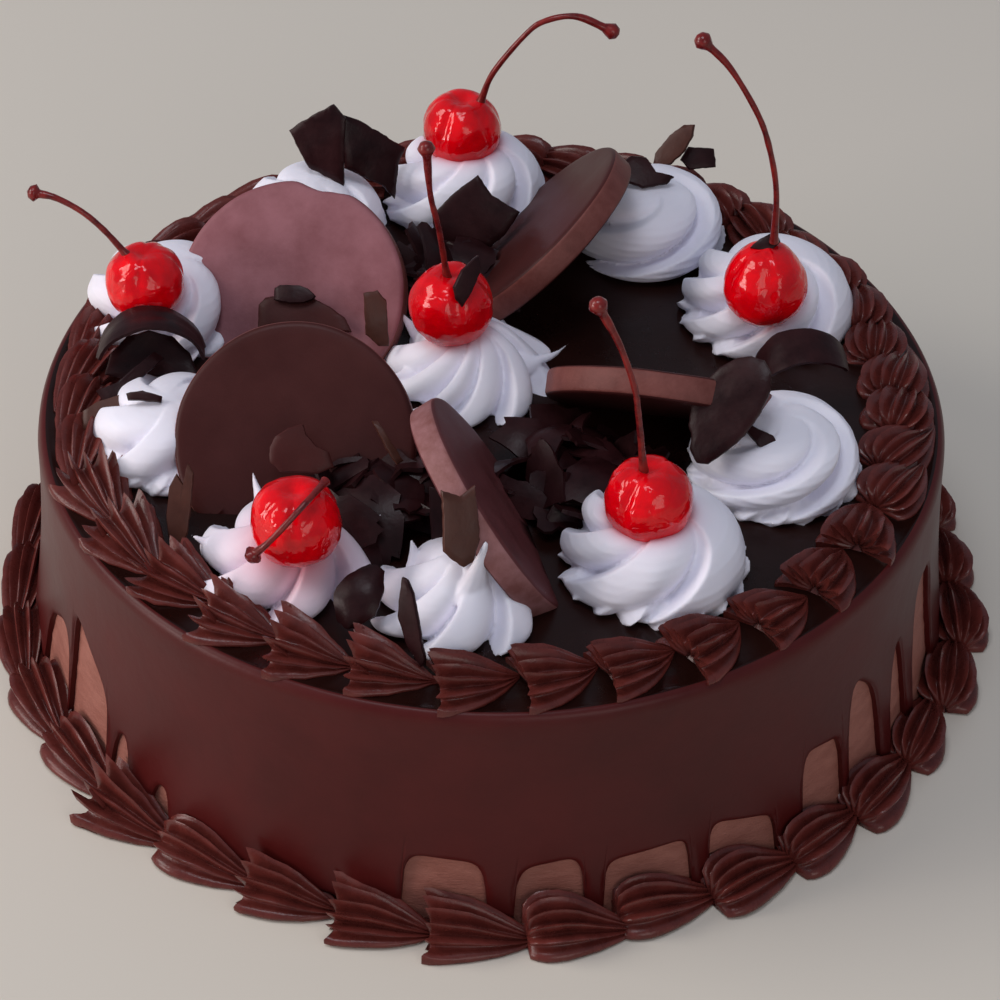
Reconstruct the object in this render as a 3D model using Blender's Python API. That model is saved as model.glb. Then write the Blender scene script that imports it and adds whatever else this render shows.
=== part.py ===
"""Chocolate cake with a poured ganache coat, two piped shell borders, cream rosettes,
cocktail cherries on their stems, thin chocolate discs and broken chocolate shards.

The origin is the centre of the cake's base and +Z is up. Sizes are in millimetres
and every mesh is written in metres.
"""

import math
import random
from dataclasses import dataclass

import bmesh
import bpy
from mathutils import Matrix, Vector

# Driving dimensions
MM = 0.001
GAP = 0.35
CAKE_HEIGHT = 61.0
TOP_RADIUS = 108.0
FOOT_FLARE = 5.0
EDGE_ROUND = 3.0
COAT_THICKNESS = 1.5
COAT_LOWEST = 2.0
BODY_SIDES = 40
TOP_LEVEL = CAKE_HEIGHT + GAP

# Piped shell borders
TOP_SHELLS = 34
TOP_SHELL_RING = 97.5
TOP_SHELL_LENGTH = 23.0
TOP_SHELL_HALF_WIDTH = 8.6
TOP_SHELL_HEIGHT = 8.6
BASE_SHELLS = 33
BASE_SHELL_RING = 117.2
BASE_SHELL_LENGTH = 27.5
BASE_SHELL_HALF_WIDTH = 8.8
BASE_SHELL_HEIGHT = 10.5
SHELL_SEED = 7
SHELL_STATIONS = ((0.12, 0.72), (0.38, 1.0), (0.72, 0.60))
SHELL_RIBS = 4
SHELL_GROOVE = 0.80
SHELL_FAN = (-22.0, 202.0)

# Toppings
DISC_RADIUS = 28.0
DISC_THICKNESS = 6.6
DISC_SIDES = 32
CHERRY_RADIUS = 10.0
STEM_RADIUS = 0.95
STEM_KNOB_RADIUS = 2.2
STEM_SIDES = 5
CHERRY_SIDES = 9
CHERRY_RINGS = (0.16, 0.30, 0.52, 0.76, 0.92)
SHARD_THICKNESS = 1.3
CUT_DEPTH = 60.0


@dataclass(frozen=True)
class Window:
    """A place on the side where the poured coat stops short: degrees, and the height it shows up to."""

    centre: float
    half_width: float
    top: float


@dataclass(frozen=True)
class Rosette:
    """A piped cream rosette: its centre on the cake's top, its sizes and the turn of its lobes."""

    x: float
    y: float
    diameter: float
    height: float
    lobes: int
    twist: float
    turn: float = 0.0


@dataclass(frozen=True)
class Cherry:
    """A cherry: its centre, its height above the cake's top and its size beside the usual one."""

    x: float
    y: float
    lift: float
    scale: float = 1.0
    drop: float = 0.0


@dataclass(frozen=True)
class Disc:
    """A thin chocolate disc: its centre, its height above the top and the way its face looks."""

    x: float
    y: float
    lift: float
    facing: tuple


@dataclass(frozen=True)
class Shard:
    """A broken leaf of chocolate: the middle of its strip, its size and how it stands."""

    x: float
    y: float
    lift: float
    length: float
    width: float
    heading: float
    rise: float
    roll: float = 0.0
    bend: float = 20.0
    taper: tuple = (0.55, 1.0, 0.9, 0.35)


WINDOWS = (
    Window(-162.0, 4.6, 25.0),
    Window(-150.0, 6.0, 38.0),
    Window(-140.0, 2.2, 19.0),
    Window(-132.6, 2.0, 15.0),
    Window(-94.6, 4.4, 19.5),
    Window(-82.0, 3.9, 19.0),
    Window(-70.4, 5.4, 20.0),
    Window(-57.3, 4.8, 22.0),
    Window(-45.0, 3.9, 30.0),
    Window(-36.0, 3.4, 37.0),
    Window(-27.6, 2.7, 39.0),
    Window(-19.6, 4.0, 41.0),
    Window(30.0, 5.2, 26.0),
)
WINDOW_STEPS = ((-1.05, 0.0), (-0.90, 0.82), (0.0, 1.0), (0.90, 0.78), (1.05, 0.0))
PLAIN_STEP = 10.0

ROSETTES = {
    "rosette_01": Rosette(-80.0, 31.0, 39.0, 17.0, 7, 35.0),
    "rosette_02": Rosette(-75.0, -18.0, 38.0, 17.0, 7, 40.0),
    "rosette_03": Rosette(-45.5, -59.5, 42.0, 17.0, 8, 10.0),
    "rosette_04": Rosette(-7.0, -71.5, 37.0, 19.0, 7, 45.0),
    "rosette_05": Rosette(37.0, -57.5, 42.5, 18.0, 8, 40.0),
    "rosette_06": Rosette(66.0, -23.0, 41.0, 17.0, 6, 70.0),
    "rosette_07": Rosette(67.0, 37.0, 43.0, 17.0, 7, 40.0),
    "rosette_08": Rosette(38.0, 67.0, 40.0, 17.0, 6, 70.0),
    "rosette_09": Rosette(-8.0, 81.0, 40.0, 18.0, 7, 40.0),
    "rosette_10": Rosette(-46.0, 67.0, 38.0, 17.0, 7, 40.0),
    "rosette_11": Rosette(-6.0, 10.5, 41.0, 17.0, 7, 15.0),
}
ROSETTE_RINGS = ((0.0, 0.92), (0.20, 1.0), (0.56, 0.80), (0.87, 0.38))
ROSETTE_GROOVE = 0.13

CHERRIES = {
    "cherry_01": Cherry(-83.6, 18.5, 20.5, 0.95),
    "cherry_03": Cherry(-42.8, -67.4, 20.0, 1.03),
    "cherry_05": Cherry(35.1, -58.2, 20.5),
    "cherry_07": Cherry(64.9, 21.8, 20.5, 1.02, 3.0),
    "cherry_09": Cherry(-9.0, 84.0, 21.0),
    "cherry_11": Cherry(-10.3, 11.4, 20.7, 1.01),
}

# Each stem's points stand above its cherry's centre: X, Y and Z from it
STEMS = {
    "stem_01": (
        (-4.0, 0.0, 7.6), (-9.0, 0.5, 14.3), (-14.0, 1.0, 19.2),
        (-20.0, 2.0, 22.3), (-25.0, 3.0, 22.9),
    ),
    "stem_03": (
        (5.6, -0.6, 9.4), (1.5, -9.3, 9.0), (-5.2, -13.2, 2.4),
        (-8.4, -11.8, -3.2),
    ),
    "stem_05": (
        (-1.4, 0.0, 8.2), (-3.2, 0.0, 24.0), (-4.4, 0.5, 31.5),
        (-8.0, 1.2, 42.4), (-13.0, 2.0, 52.5),
    ),
    "stem_07": (
        (1.2, 0.0, 12.6), (0.8, 0.5, 27.0), (-1.6, 1.0, 39.0),
        (-5.0, 1.5, 48.3), (-12.0, 2.0, 60.3), (-18.6, 2.5, 67.2),
    ),
    "stem_09": (
        (4.6, 0.0, 8.4), (7.6, 0.0, 17.0), (15.0, 0.5, 27.6),
        (20.0, 1.0, 31.8), (28.0, 1.6, 33.0), (37.0, 2.0, 28.6),
    ),
    "stem_11": (
        (-1.0, 0.0, 8.0), (-3.0, 0.3, 21.8), (-5.0, 0.8, 31.0),
        (-6.0, 1.5, 43.6),
    ),
}
STEM_POINTS = 6

DISCS = {
    "disc_01": Disc(-49.4, 25.0, 12.6, (-0.16, -0.66, 0.73)),
    "disc_02": Disc(-44.0, -31.5, 11.4, (-0.03, -0.73, 0.68)),
    "disc_03": Disc(9.0, 49.5, 15.5, (-0.71, 0.22, 0.67)),
    "disc_04": Disc(38.2, -7.0, 10.4, (0.11, 0.648, 0.753)),
    "disc_05": Disc(2.4, -50.5, 12.4, (0.78, 0.15, 0.60)),
}

SHARDS = {
    "shard_01": Shard(-44.0, 72.0, 24.0, 34.0, 19.0, 100.0, 72.0, 12.0, 8.0, (0.5, 0.9, 1.0, 0.75)),
    "shard_02": Shard(-30.0, 73.5, 19.0, 30.0, 22.0, 60.0, 50.0, -35.0, 8.0, (0.7, 1.0, 0.9, 0.45)),
    "shard_03": Shard(-7.0, 57.5, 14.0, 29.0, 22.0, 80.0, 62.0, 0.0, 14.0, (0.9, 1.0, 0.7, 0.15)),
    "shard_04": Shard(-6.5, 7.7, 32.6, 13.0, 4.6, 70.0, 25.0, 60.0, 25.0, (0.5, 1.0, 0.8, 0.2)),
    "shard_05": Shard(45.3, 86.7, 14.5, 17.0, 6.4, 40.0, 35.0, 25.0, 15.0, (0.5, 1.0, 0.9, 0.4)),
    "shard_06": Shard(38.0, 69.0, 19.5, 17.0, 8.0, 15.0, 10.0, 15.0, 30.0),
    "shard_07": Shard(52.0, 90.0, 12.5, 9.0, 8.0, 10.0, 25.0, 10.0, 10.0, (0.8, 1.0, 0.9, 0.5)),
    "shard_08": Shard(66.5, 25.2, 32.8, 9.0, 5.0, 20.0, 15.0, 35.0, 20.0),
    "shard_09": Shard(56.0, -29.0, 24.5, 31.0, 13.5, 62.0, 40.0, -12.0, 18.0, (0.45, 0.95, 1.0, 0.45)),
    "shard_10": Shard(73.0, 1.0, 13.5, 19.0, 12.0, 5.0, 4.0, 30.0, 75.0, (0.6, 1.0, 0.9, 0.5)),
    "shard_11": Shard(60.5, -36.0, 17.0, 13.0, 5.0, -40.0, 38.0, 15.0, 15.0),
    "shard_12": Shard(-81.0, 2.0, 12.0, 25.0, 13.0, 5.0, -8.0, 25.0, 85.0, (0.6, 1.0, 0.9, 0.5)),
    "shard_13": Shard(-90.0, -10.0, 11.0, 22.0, 7.0, 62.0, 12.0, 20.0, 12.0, (0.7, 1.0, 1.0, 0.6)),
    "shard_14": Shard(-84.0, -17.0, 17.5, 14.0, 3.6, 20.0, 10.0, 10.0, 10.0, (0.8, 1.0, 1.0, 0.7)),
    "shard_15": Shard(-43.0, 2.0, 8.5, 24.0, 12.0, 12.0, 12.0, 35.0, 60.0, (0.6, 1.0, 1.0, 0.6)),
    "shard_16": Shard(-28.0, 14.2, 15.6, 19.0, 8.0, 95.0, 60.0, 0.0, 10.0, (0.7, 1.0, 1.0, 0.7)),
    "shard_17": Shard(-44.5, -38.0, 15.0, 17.0, 10.0, 20.0, 25.0, 15.0, 70.0, (0.6, 1.0, 0.9, 0.5)),
    "shard_18": Shard(-24.0, -34.6, 21.5, 15.0, 2.8, -55.0, 35.0, 0.0, 6.0, (0.8, 1.0, 1.0, 0.7)),
    "shard_19": Shard(-13.5, -55.5, 16.0, 20.0, 7.0, -88.0, -62.0, 0.0, 14.0, (0.9, 1.0, 0.95, 0.7)),
    "shard_20": Shard(-6.5, -59.5, 12.5, 16.0, 7.4, -84.0, -58.0, 0.0, 20.0, (1.0, 0.95, 0.8, 0.4)),
    "shard_21": Shard(-28.0, -79.0, 8.5, 15.0, 10.5, 75.0, 35.0, 12.0, 80.0, (0.6, 1.0, 1.0, 0.6)),
    "shard_22": Shard(-17.0, -89.0, 12.0, 21.0, 5.6, 100.0, 70.0, 0.0, 10.0, (0.9, 1.0, 0.7, 0.15)),
    "shard_23": Shard(-70.5, -46.0, 8.5, 21.0, 8.0, 100.0, 52.0, 10.0, 14.0, (0.4, 1.0, 0.9, 0.3)),
}

# Heaps of broken shavings: centre, spread of the bare core, and how many pieces show
HEAPS = {
    "shavings_01": (-26.5, -41.0, 18.0, 18.0, 8, 21),
    "shavings_02": (18.0, -32.0, 15.0, 15.0, 7, 5),
    "shavings_03": (-11.0, 43.0, 12.0, 9.0, 5, 12),
}
HEAP_CORE_HEIGHT = 6.5
HEAP_SIDES = 8

BROWN = {
    "body": ((0.30, 0.17, 0.13), 0.5),
    "coat": ((0.045, 0.014, 0.010), 0.22),
    "piping": ((0.075, 0.026, 0.020), 0.38),
    "disc": ((0.085, 0.034, 0.026), 0.42),
    "shard": ((0.020, 0.008, 0.007), 0.34),
}
CREAM = ((0.86, 0.85, 0.88), 0.45)
CHERRY_RED = ((0.62, 0.005, 0.008), 0.10)
STEM_BROWN = ((0.20, 0.022, 0.020), 0.35)


def clear_scene():
    for obj in list(bpy.data.objects):
        bpy.data.objects.remove(obj)


def material(name, finish):
    colour, roughness = finish
    made = bpy.data.materials.new(name)
    made.use_nodes = True
    shader = made.node_tree.nodes["Principled BSDF"]
    shader.inputs["Base Color"].default_value = (*colour, 1.0)
    shader.inputs["Roughness"].default_value = roughness
    shader.inputs["Metallic"].default_value = 0.0
    return made


def new_object(name, points, faces):
    """A mesh object from points in millimetres, its faces turned outwards."""
    mesh = bpy.data.meshes.new(name)
    mesh.from_pydata([Vector(point) * MM for point in points], [], faces)
    work = bmesh.new()
    work.from_mesh(mesh)
    bmesh.ops.recalc_face_normals(work, faces=work.faces)
    work.to_mesh(mesh)
    work.free()
    obj = bpy.data.objects.new(name, mesh)
    bpy.context.scene.collection.objects.link(obj)
    return obj


def finish(obj, finish_name, look, sharp_degrees=40.0):
    obj.data.materials.clear()
    obj.data.materials.append(material(finish_name, look))
    obj.data.shade_smooth()
    obj.data.set_sharp_from_angle(angle=math.radians(sharp_degrees))


def loft(rings):
    """Points and faces of a closed skin through rings of equal count, flat or pointed at each end."""
    points = [point for ring in rings for point in ring]
    faces = []
    starts = []
    total = 0
    for ring in rings:
        starts.append(total)
        total += len(ring)
    for lower, upper, first, second in zip(rings, rings[1:], starts, starts[1:]):
        count = max(len(lower), len(upper))
        for i in range(count):
            j = (i + 1) % count
            if len(lower) == 1:
                faces.append((first, second + j, second + i))
            elif len(upper) == 1:
                faces.append((first + i, first + j, second))
            else:
                faces.append((first + i, first + j, second + j, second + i))
    if len(rings[0]) > 1:
        faces.append(tuple(reversed(range(len(rings[0])))))
    if len(rings[-1]) > 1:
        faces.append(tuple(range(starts[-1], total)))
    return points, faces


def use_modifier(obj, kind, **settings):
    """Adds one modifier, applies it to the mesh and returns the object."""
    modifier = obj.modifiers.new(kind.title(), kind)
    for key, value in settings.items():
        setattr(modifier, key, value)
    bpy.context.view_layer.update()
    graph = bpy.context.evaluated_depsgraph_get()
    mesh = bpy.data.meshes.new_from_object(obj.evaluated_get(graph))
    before = obj.data
    obj.modifiers.clear()
    obj.data = mesh
    bpy.data.meshes.remove(before)
    mesh.name = obj.name
    return obj


def islands(work):
    """The connected groups of faces of a bmesh."""
    left = set(work.faces)
    groups = []
    while left:
        group = {left.pop()}
        waiting = list(group)
        while waiting:
            face = waiting.pop()
            for edge in face.edges:
                for other in edge.link_faces:
                    if other in left:
                        left.remove(other)
                        group.add(other)
                        waiting.append(other)
        groups.append(group)
    return groups


def group_volume(group):
    total = 0.0
    for face in group:
        corners = [vert.co for vert in face.verts]
        for second, third in zip(corners[1:], corners[2:]):
            total += corners[0].dot(second.cross(third)) / 6.0
    return total


def keep_largest(obj):
    """Triangles only, and the largest body where a cut left scraps."""
    work = bmesh.new()
    work.from_mesh(obj.data)
    bmesh.ops.remove_doubles(work, verts=work.verts, dist=0.00001)
    bmesh.ops.triangulate(work, faces=work.faces)
    groups = sorted(islands(work), key=group_volume)
    scraps = [face for group in groups[:-1] for face in group]
    bmesh.ops.delete(work, geom=scraps, context="FACES")
    loose = [vert for vert in work.verts if not vert.link_faces]
    bmesh.ops.delete(work, geom=loose, context="VERTS")
    work.to_mesh(obj.data)
    work.free()


def swollen(obj, margin=GAP):
    """A hidden copy of a piece grown by a margin, to cut room for the piece."""
    work = bmesh.new()
    work.from_mesh(obj.data)
    bmesh.ops.triangulate(work, faces=work.faces)
    work.normal_update()
    moves = [vert.normal * margin * MM * min(vert.calc_shell_factor(), 2.5) for vert in work.verts]
    for vert, move in zip(work.verts, moves):
        vert.co += move
    mesh = bpy.data.meshes.new(obj.name + "_room")
    work.to_mesh(mesh)
    work.free()
    room = bpy.data.objects.new(obj.name + "_room", mesh)
    bpy.context.scene.collection.objects.link(room)
    room.hide_render = True
    room.display_type = "WIRE"
    return room


def box_of(obj):
    points = [vert.co for vert in obj.data.vertices]
    low = [min(point[axis] for point in points) for axis in range(3)]
    high = [max(point[axis] for point in points) for axis in range(3)]
    return low, high


def meet(first, second):
    """True where the boxes of two pieces come nearer than the gap."""
    (low, high), (other_low, other_high) = box_of(first), box_of(second)
    reach = 2.0 * GAP * MM
    return all(low[i] - reach < other_high[i] and other_low[i] - reach < high[i] for i in range(3))


def carve(obj, neighbours):
    """Cuts from a piece the room that each neighbour needs, and drops loose scraps."""
    for other in neighbours:
        if not meet(obj, other):
            continue
        room = swollen(other)
        use_modifier(obj, "BOOLEAN", operation="DIFFERENCE", solver="MANIFOLD", object=room)
        bpy.data.objects.remove(room)
    keep_largest(obj)


def trim_below(obj, level):
    """Cuts a piece flat at a level, in millimetres."""
    work = bmesh.new()
    work.from_mesh(obj.data)
    everything = list(work.verts) + list(work.edges) + list(work.faces)
    cut = bmesh.ops.bisect_plane(
        work, geom=everything, plane_co=(0, 0, level * MM), plane_no=(0, 0, 1), clear_inner=True
    )
    rim = [piece for piece in cut["geom_cut"] if isinstance(piece, bmesh.types.BMEdge)]
    if rim:
        bmesh.ops.holes_fill(work, edges=rim, sides=0)
    bmesh.ops.recalc_face_normals(work, faces=work.faces)
    work.to_mesh(obj.data)
    work.free()


def fuse(name, pieces):
    """Joins overlapping pieces into one body with one Boolean union on a collection."""
    first, rest = pieces[0], pieces[1:]
    group = bpy.data.collections.new(name + "_pieces")
    bpy.context.scene.collection.children.link(group)
    for piece in rest:
        bpy.context.scene.collection.objects.unlink(piece)
        group.objects.link(piece)
    use_modifier(
        first, "BOOLEAN", operation="UNION", solver="MANIFOLD", operand_type="COLLECTION", collection=group
    )
    for piece in rest:
        bpy.data.objects.remove(piece)
    bpy.data.collections.remove(group)
    first.name = name
    first.data.name = name
    return first


def ring_points(radius, z, angles):
    return [(radius * math.cos(angle), radius * math.sin(angle), z) for angle in angles]


def side_radius(z):
    """The outside of the coat: nearly upright, with a foot that spreads."""
    return TOP_RADIUS + FOOT_FLARE * (1.0 - z / CAKE_HEIGHT) ** 2


def even_angles(count):
    return [2.0 * math.pi * i / count for i in range(count)]


def cake_body():
    """The cake and its lighter cream, solid right through, inside the poured coat."""
    inset = COAT_THICKNESS + 2.0 * GAP
    top = CAKE_HEIGHT - inset
    angles = even_angles(BODY_SIDES)
    levels = (0.0, 24.0, top - EDGE_ROUND)
    rings = [ring_points(side_radius(z) - inset, z, angles) for z in levels]
    rings.append(ring_points(side_radius(top) - inset - EDGE_ROUND, top, angles))
    obj = new_object("cake_body", *loft(rings))
    finish(obj, "chocolate_cream", BROWN["body"])
    return obj


def coat_steps():
    """(angle, lower edge) pairs round the coat: plain steps, with finer ones at each window."""
    steps = []
    for window in WINDOWS:
        for across, share in WINDOW_STEPS:
            low = COAT_LOWEST + share * (window.top - COAT_LOWEST)
            steps.append((window.centre + across * window.half_width, low))
    plain = int(360.0 / PLAIN_STEP)
    for i in range(plain):
        angle = -180.0 + i * PLAIN_STEP
        if all(abs(angle - window.centre) > 1.2 * window.half_width + 0.5 for window in WINDOWS):
            steps.append((angle, COAT_LOWEST))
    return sorted(steps)


def ganache_coat():
    """The poured coat: one thin skin over the top and down the side, with a ragged lower edge."""
    steps = coat_steps()
    edge = CAKE_HEIGHT - EDGE_ROUND
    profile = []
    for shares, inset in (((0.0, 1.0), 0.0), ((1.0, 0.0), COAT_THICKNESS)):
        rows = []
        for share in shares:
            row = []
            for degrees, low in steps:
                angle = math.radians(degrees)
                z = low + share * (edge - low)
                radius = side_radius(z) - inset
                row.append((radius * math.cos(angle), radius * math.sin(angle), z))
            rows.append(row)
        profile.append(rows)
    outer, inner = profile
    angles = [math.radians(degrees) for degrees, _ in steps]
    lip = side_radius(CAKE_HEIGHT) - EDGE_ROUND
    over = ring_points(lip, CAKE_HEIGHT, angles)
    under = ring_points(lip - COAT_THICKNESS, CAKE_HEIGHT - COAT_THICKNESS, angles)
    rings = [*outer, over, under, *inner]
    count = len(angles)
    points = [point for ring in rings for point in ring]
    faces = []
    over_at, under_at = 2, 3
    for row in range(len(rings)):
        after = (row + 1) % len(rings)
        if (row, after) == (over_at, under_at):
            continue
        for i in range(count):
            j = (i + 1) % count
            faces.append((row * count + i, row * count + j, after * count + j, after * count + i))
    faces.append(tuple(over_at * count + i for i in range(count)))
    faces.append(tuple(under_at * count + i for i in reversed(range(count))))
    obj = new_object("ganache_coat", points, faces)
    finish(obj, "ganache", BROWN["coat"])
    return obj


def shell_rings(length, half_width, height, draw):
    """One piped shell lying along X: a round ribbed head at -X and a pointed tail at +X."""
    first, last = (math.radians(value) for value in SHELL_FAN)
    spokes = 2 * SHELL_RIBS - 1
    rings = [[(-0.5 * length, 0.0, 0.30 * height)]]
    for station, share in SHELL_STATIONS:
        ring = []
        for i in range(spokes):
            angle = first + (last - first) * i / (spokes - 1)
            rib = 1.0 if i % 2 == 0 else SHELL_GROOVE
            reach = share * rib * draw.uniform(0.95, 1.05)
            forward = -1.2 if i % 2 == 0 and share < 0.9 else 0.0
            ring.append(
                (
                    (station - 0.5) * length + forward,
                    half_width * reach * math.cos(angle),
                    height * reach * math.sin(angle),
                )
            )
        ring.append(((station - 0.5) * length, 0.0, -0.6 * height * share))
        rings.append(ring)
    rings.append([(0.5 * length, 0.0, 0.10 * height)])
    return rings


def shell_border(name, count, ring_radius, length, half_width, height, base, phase, draw):
    """A ring of shells, each head over the tail before it, fused into one body."""
    pieces = []
    for i in range(count):
        angle = math.radians(phase) + 2.0 * math.pi * i / count
        size = draw.uniform(0.94, 1.06)
        rings = shell_rings(length * size, half_width * size, height * draw.uniform(0.92, 1.08), draw)
        points, faces = loft(rings)
        turn = angle + math.pi / 2.0 + math.radians(draw.uniform(-7.0, 5.0))
        place = Matrix.Translation((ring_radius * math.cos(angle), ring_radius * math.sin(angle), base))
        place = place @ Matrix.Rotation(turn, 4, "Z")
        pieces.append(new_object(f"{name}_{i}", [place @ Vector(point) for point in points], faces))
    return fuse(name, pieces)


def cut_with(obj, cutter):
    cutter.hide_render = True
    cutter.display_type = "WIRE"
    use_modifier(obj, "BOOLEAN", operation="DIFFERENCE", solver="MANIFOLD", object=cutter)
    bpy.data.objects.remove(cutter)


def drum(name, radii_and_levels, sides=BODY_SIDES):
    """A closed turned solid from (radius, level) pairs, lowest first."""
    angles = even_angles(sides)
    return new_object(name, *loft([ring_points(radius, z, angles) for radius, z in radii_and_levels]))


def below(name, level):
    """A block that fills the space under a level, wider than the whole cake."""
    wide = 2 * TOP_RADIUS
    return drum(name, ((wide, level - CUT_DEPTH), (wide, level)))


def top_border(draw):
    obj = shell_border(
        "top_border",
        TOP_SHELLS,
        TOP_SHELL_RING,
        TOP_SHELL_LENGTH,
        TOP_SHELL_HALF_WIDTH,
        TOP_SHELL_HEIGHT,
        TOP_LEVEL,
        -2.0,
        draw,
    )
    cut_with(obj, below("below_top", TOP_LEVEL))
    keep_largest(obj)
    return obj


def base_border(draw):
    obj = shell_border(
        "base_border",
        BASE_SHELLS,
        BASE_SHELL_RING,
        BASE_SHELL_LENGTH,
        BASE_SHELL_HALF_WIDTH,
        BASE_SHELL_HEIGHT,
        0.8,
        3.0,
        draw,
    )
    cut_with(obj, below("below_floor", 0.0))
    room = 2.0 * GAP
    levels = (-2.0, BASE_SHELL_HEIGHT + 4.0)
    cut_with(obj, drum("side_room", [(side_radius(z) + room, z) for z in levels], BODY_SIDES))
    keep_largest(obj)
    return obj


def rosette(name, spec):
    """A lobed mound of piped cream whose lobes lean round as they rise."""
    rings = []
    spokes = 2 * spec.lobes
    for rise, share in ROSETTE_RINGS:
        ring = []
        for i in range(spokes):
            angle = math.radians(spec.turn + spec.twist * rise) + 2.0 * math.pi * i / spokes
            groove = 1.0 if i % 2 == 0 else 1.0 - ROSETTE_GROOVE
            radius = 0.5 * spec.diameter * share * groove
            z = TOP_LEVEL + spec.height * rise
            ring.append((spec.x + radius * math.cos(angle), spec.y + radius * math.sin(angle), z))
        rings.append(ring)
    rings.append([(spec.x, spec.y, TOP_LEVEL + spec.height)])
    return new_object(name, *loft(rings))


def cherry(name, spec):
    """A round cherry with a dimple where its stem goes in."""
    radius = CHERRY_RADIUS * spec.scale
    centre = Vector((spec.x, spec.y, TOP_LEVEL + spec.lift))
    rings = [[centre + Vector((0.0, 0.0, -0.97 * radius))]]
    for share in CHERRY_RINGS:
        polar = math.pi * (1.0 - share)
        ring = []
        for angle in even_angles(CHERRY_SIDES):
            flat = radius * math.sin(polar)
            up = radius * math.cos(polar) + (spec.drop * max(0.0, share - 0.6) / 0.4)
            ring.append(centre + Vector((flat * math.cos(angle), flat * math.sin(angle), up)))
        rings.append(ring)
    rings.append([centre + Vector((0.0, 0.0, 0.84 * radius + spec.drop))])
    return new_object(name, *loft(rings))


def smooth_path(points, count):
    """Points along one smooth curve through the given ones."""
    padded = [2 * points[0] - points[1], *points, 2 * points[-1] - points[-2]]
    spans = len(points) - 1
    path = []
    for i in range(count + 1):
        along = spans * i / count
        span = min(int(along), spans - 1)
        t = along - span
        a, b, c, d = padded[span : span + 4]
        curve = (2 * a - 5 * b + 4 * c - d) * t**2 + (3 * b - a - 3 * c + d) * t**3
        path.append(0.5 * (2 * b + (c - a) * t + curve))
    return path


def stem(name, offsets, spec):
    """A thin bent stem with a knob at its free end."""
    centre = Vector((spec.x, spec.y, TOP_LEVEL + spec.lift))
    path = smooth_path([centre + Vector(offset) for offset in offsets], STEM_POINTS)
    rings = []
    side = Vector((0.0, 1.0, 0.0))
    for i, point in enumerate(path):
        before, after = path[max(i - 1, 0)], path[min(i + 1, len(path) - 1)]
        along = (after - before).normalized()
        across = along.cross(side).normalized()
        side = across.cross(along).normalized()
        radius = STEM_KNOB_RADIUS * 0.8 if i == len(path) - 1 else STEM_RADIUS
        rings.append(
            [
                point + radius * (math.cos(angle) * across + math.sin(angle) * side)
                for angle in even_angles(STEM_SIDES)
            ]
        )
    along = (path[-1] - path[-2]).normalized()
    knob = []
    for angle in even_angles(STEM_SIDES):
        spread = math.cos(angle) * across + math.sin(angle) * side
        knob.append(path[-1] + 1.6 * along + STEM_KNOB_RADIUS * spread)
    rings.append(knob)
    rings.append([path[-1] + 3.2 * along])
    return new_object(name, *loft(rings))


def disc(name, spec):
    """A thin disc of chocolate standing in the top, cut flat where it goes in."""
    facing = Vector(spec.facing).normalized()
    across = facing.cross(Vector((0.0, 0.0, 1.0))).normalized()
    up = across.cross(facing)
    centre = Vector((spec.x, spec.y, TOP_LEVEL + spec.lift))
    rings = []
    for depth in (-DISC_THICKNESS, 0.0):
        rings.append(
            [
                centre + depth * facing + DISC_RADIUS * (math.cos(angle) * across + math.sin(angle) * up)
                for angle in even_angles(DISC_SIDES)
            ]
        )
    obj = new_object(name, *loft(rings))
    trim_below(obj, TOP_LEVEL)
    return obj


def shard_points(length, width, bend, taper, thickness=SHARD_THICKNESS):
    """The closed skin of one thin bent leaf, its length along X and its faces along Z."""
    rings = []
    count = len(taper)
    step = length / (count - 1)
    curl = math.radians(bend) / (count - 1)
    spot = Vector((-0.5 * length, 0.0, 0.0))
    slope = -0.5 * math.radians(bend)
    for i, share in enumerate(taper):
        normal = Vector((-math.sin(slope), 0.0, math.cos(slope)))
        half = 0.5 * width * share
        lean = 0.12 * width * (1 if i % 2 else -1)
        left, right = Vector((lean, -half, 0.0)), Vector((-lean, half, 0.0))
        lift = 0.5 * thickness * normal
        rings.append([spot + left - lift, spot + right - lift, spot + right + lift, spot + left + lift])
        spot = spot + Vector((math.cos(slope) * step, 0.0, math.sin(slope) * step))
        slope += curl
    return loft(rings)


def turned(heading, rise, roll):
    """A rotation whose X axis points by heading round Z and rise above level, rolled about itself."""
    return (
        Matrix.Rotation(math.radians(heading), 4, "Z")
        @ Matrix.Rotation(-math.radians(rise), 4, "Y")
        @ Matrix.Rotation(math.radians(roll), 4, "X")
    )


def shard(name, spec):
    points, faces = shard_points(spec.length, spec.width, spec.bend, spec.taper)
    place = Matrix.Translation((spec.x, spec.y, TOP_LEVEL + spec.lift))
    place = place @ turned(spec.heading, spec.rise, spec.roll)
    obj = new_object(name, [place @ Vector(point) for point in points], faces)
    if min(vert.co.z for vert in obj.data.vertices) < TOP_LEVEL * MM:
        trim_below(obj, TOP_LEVEL)
    return obj


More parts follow.
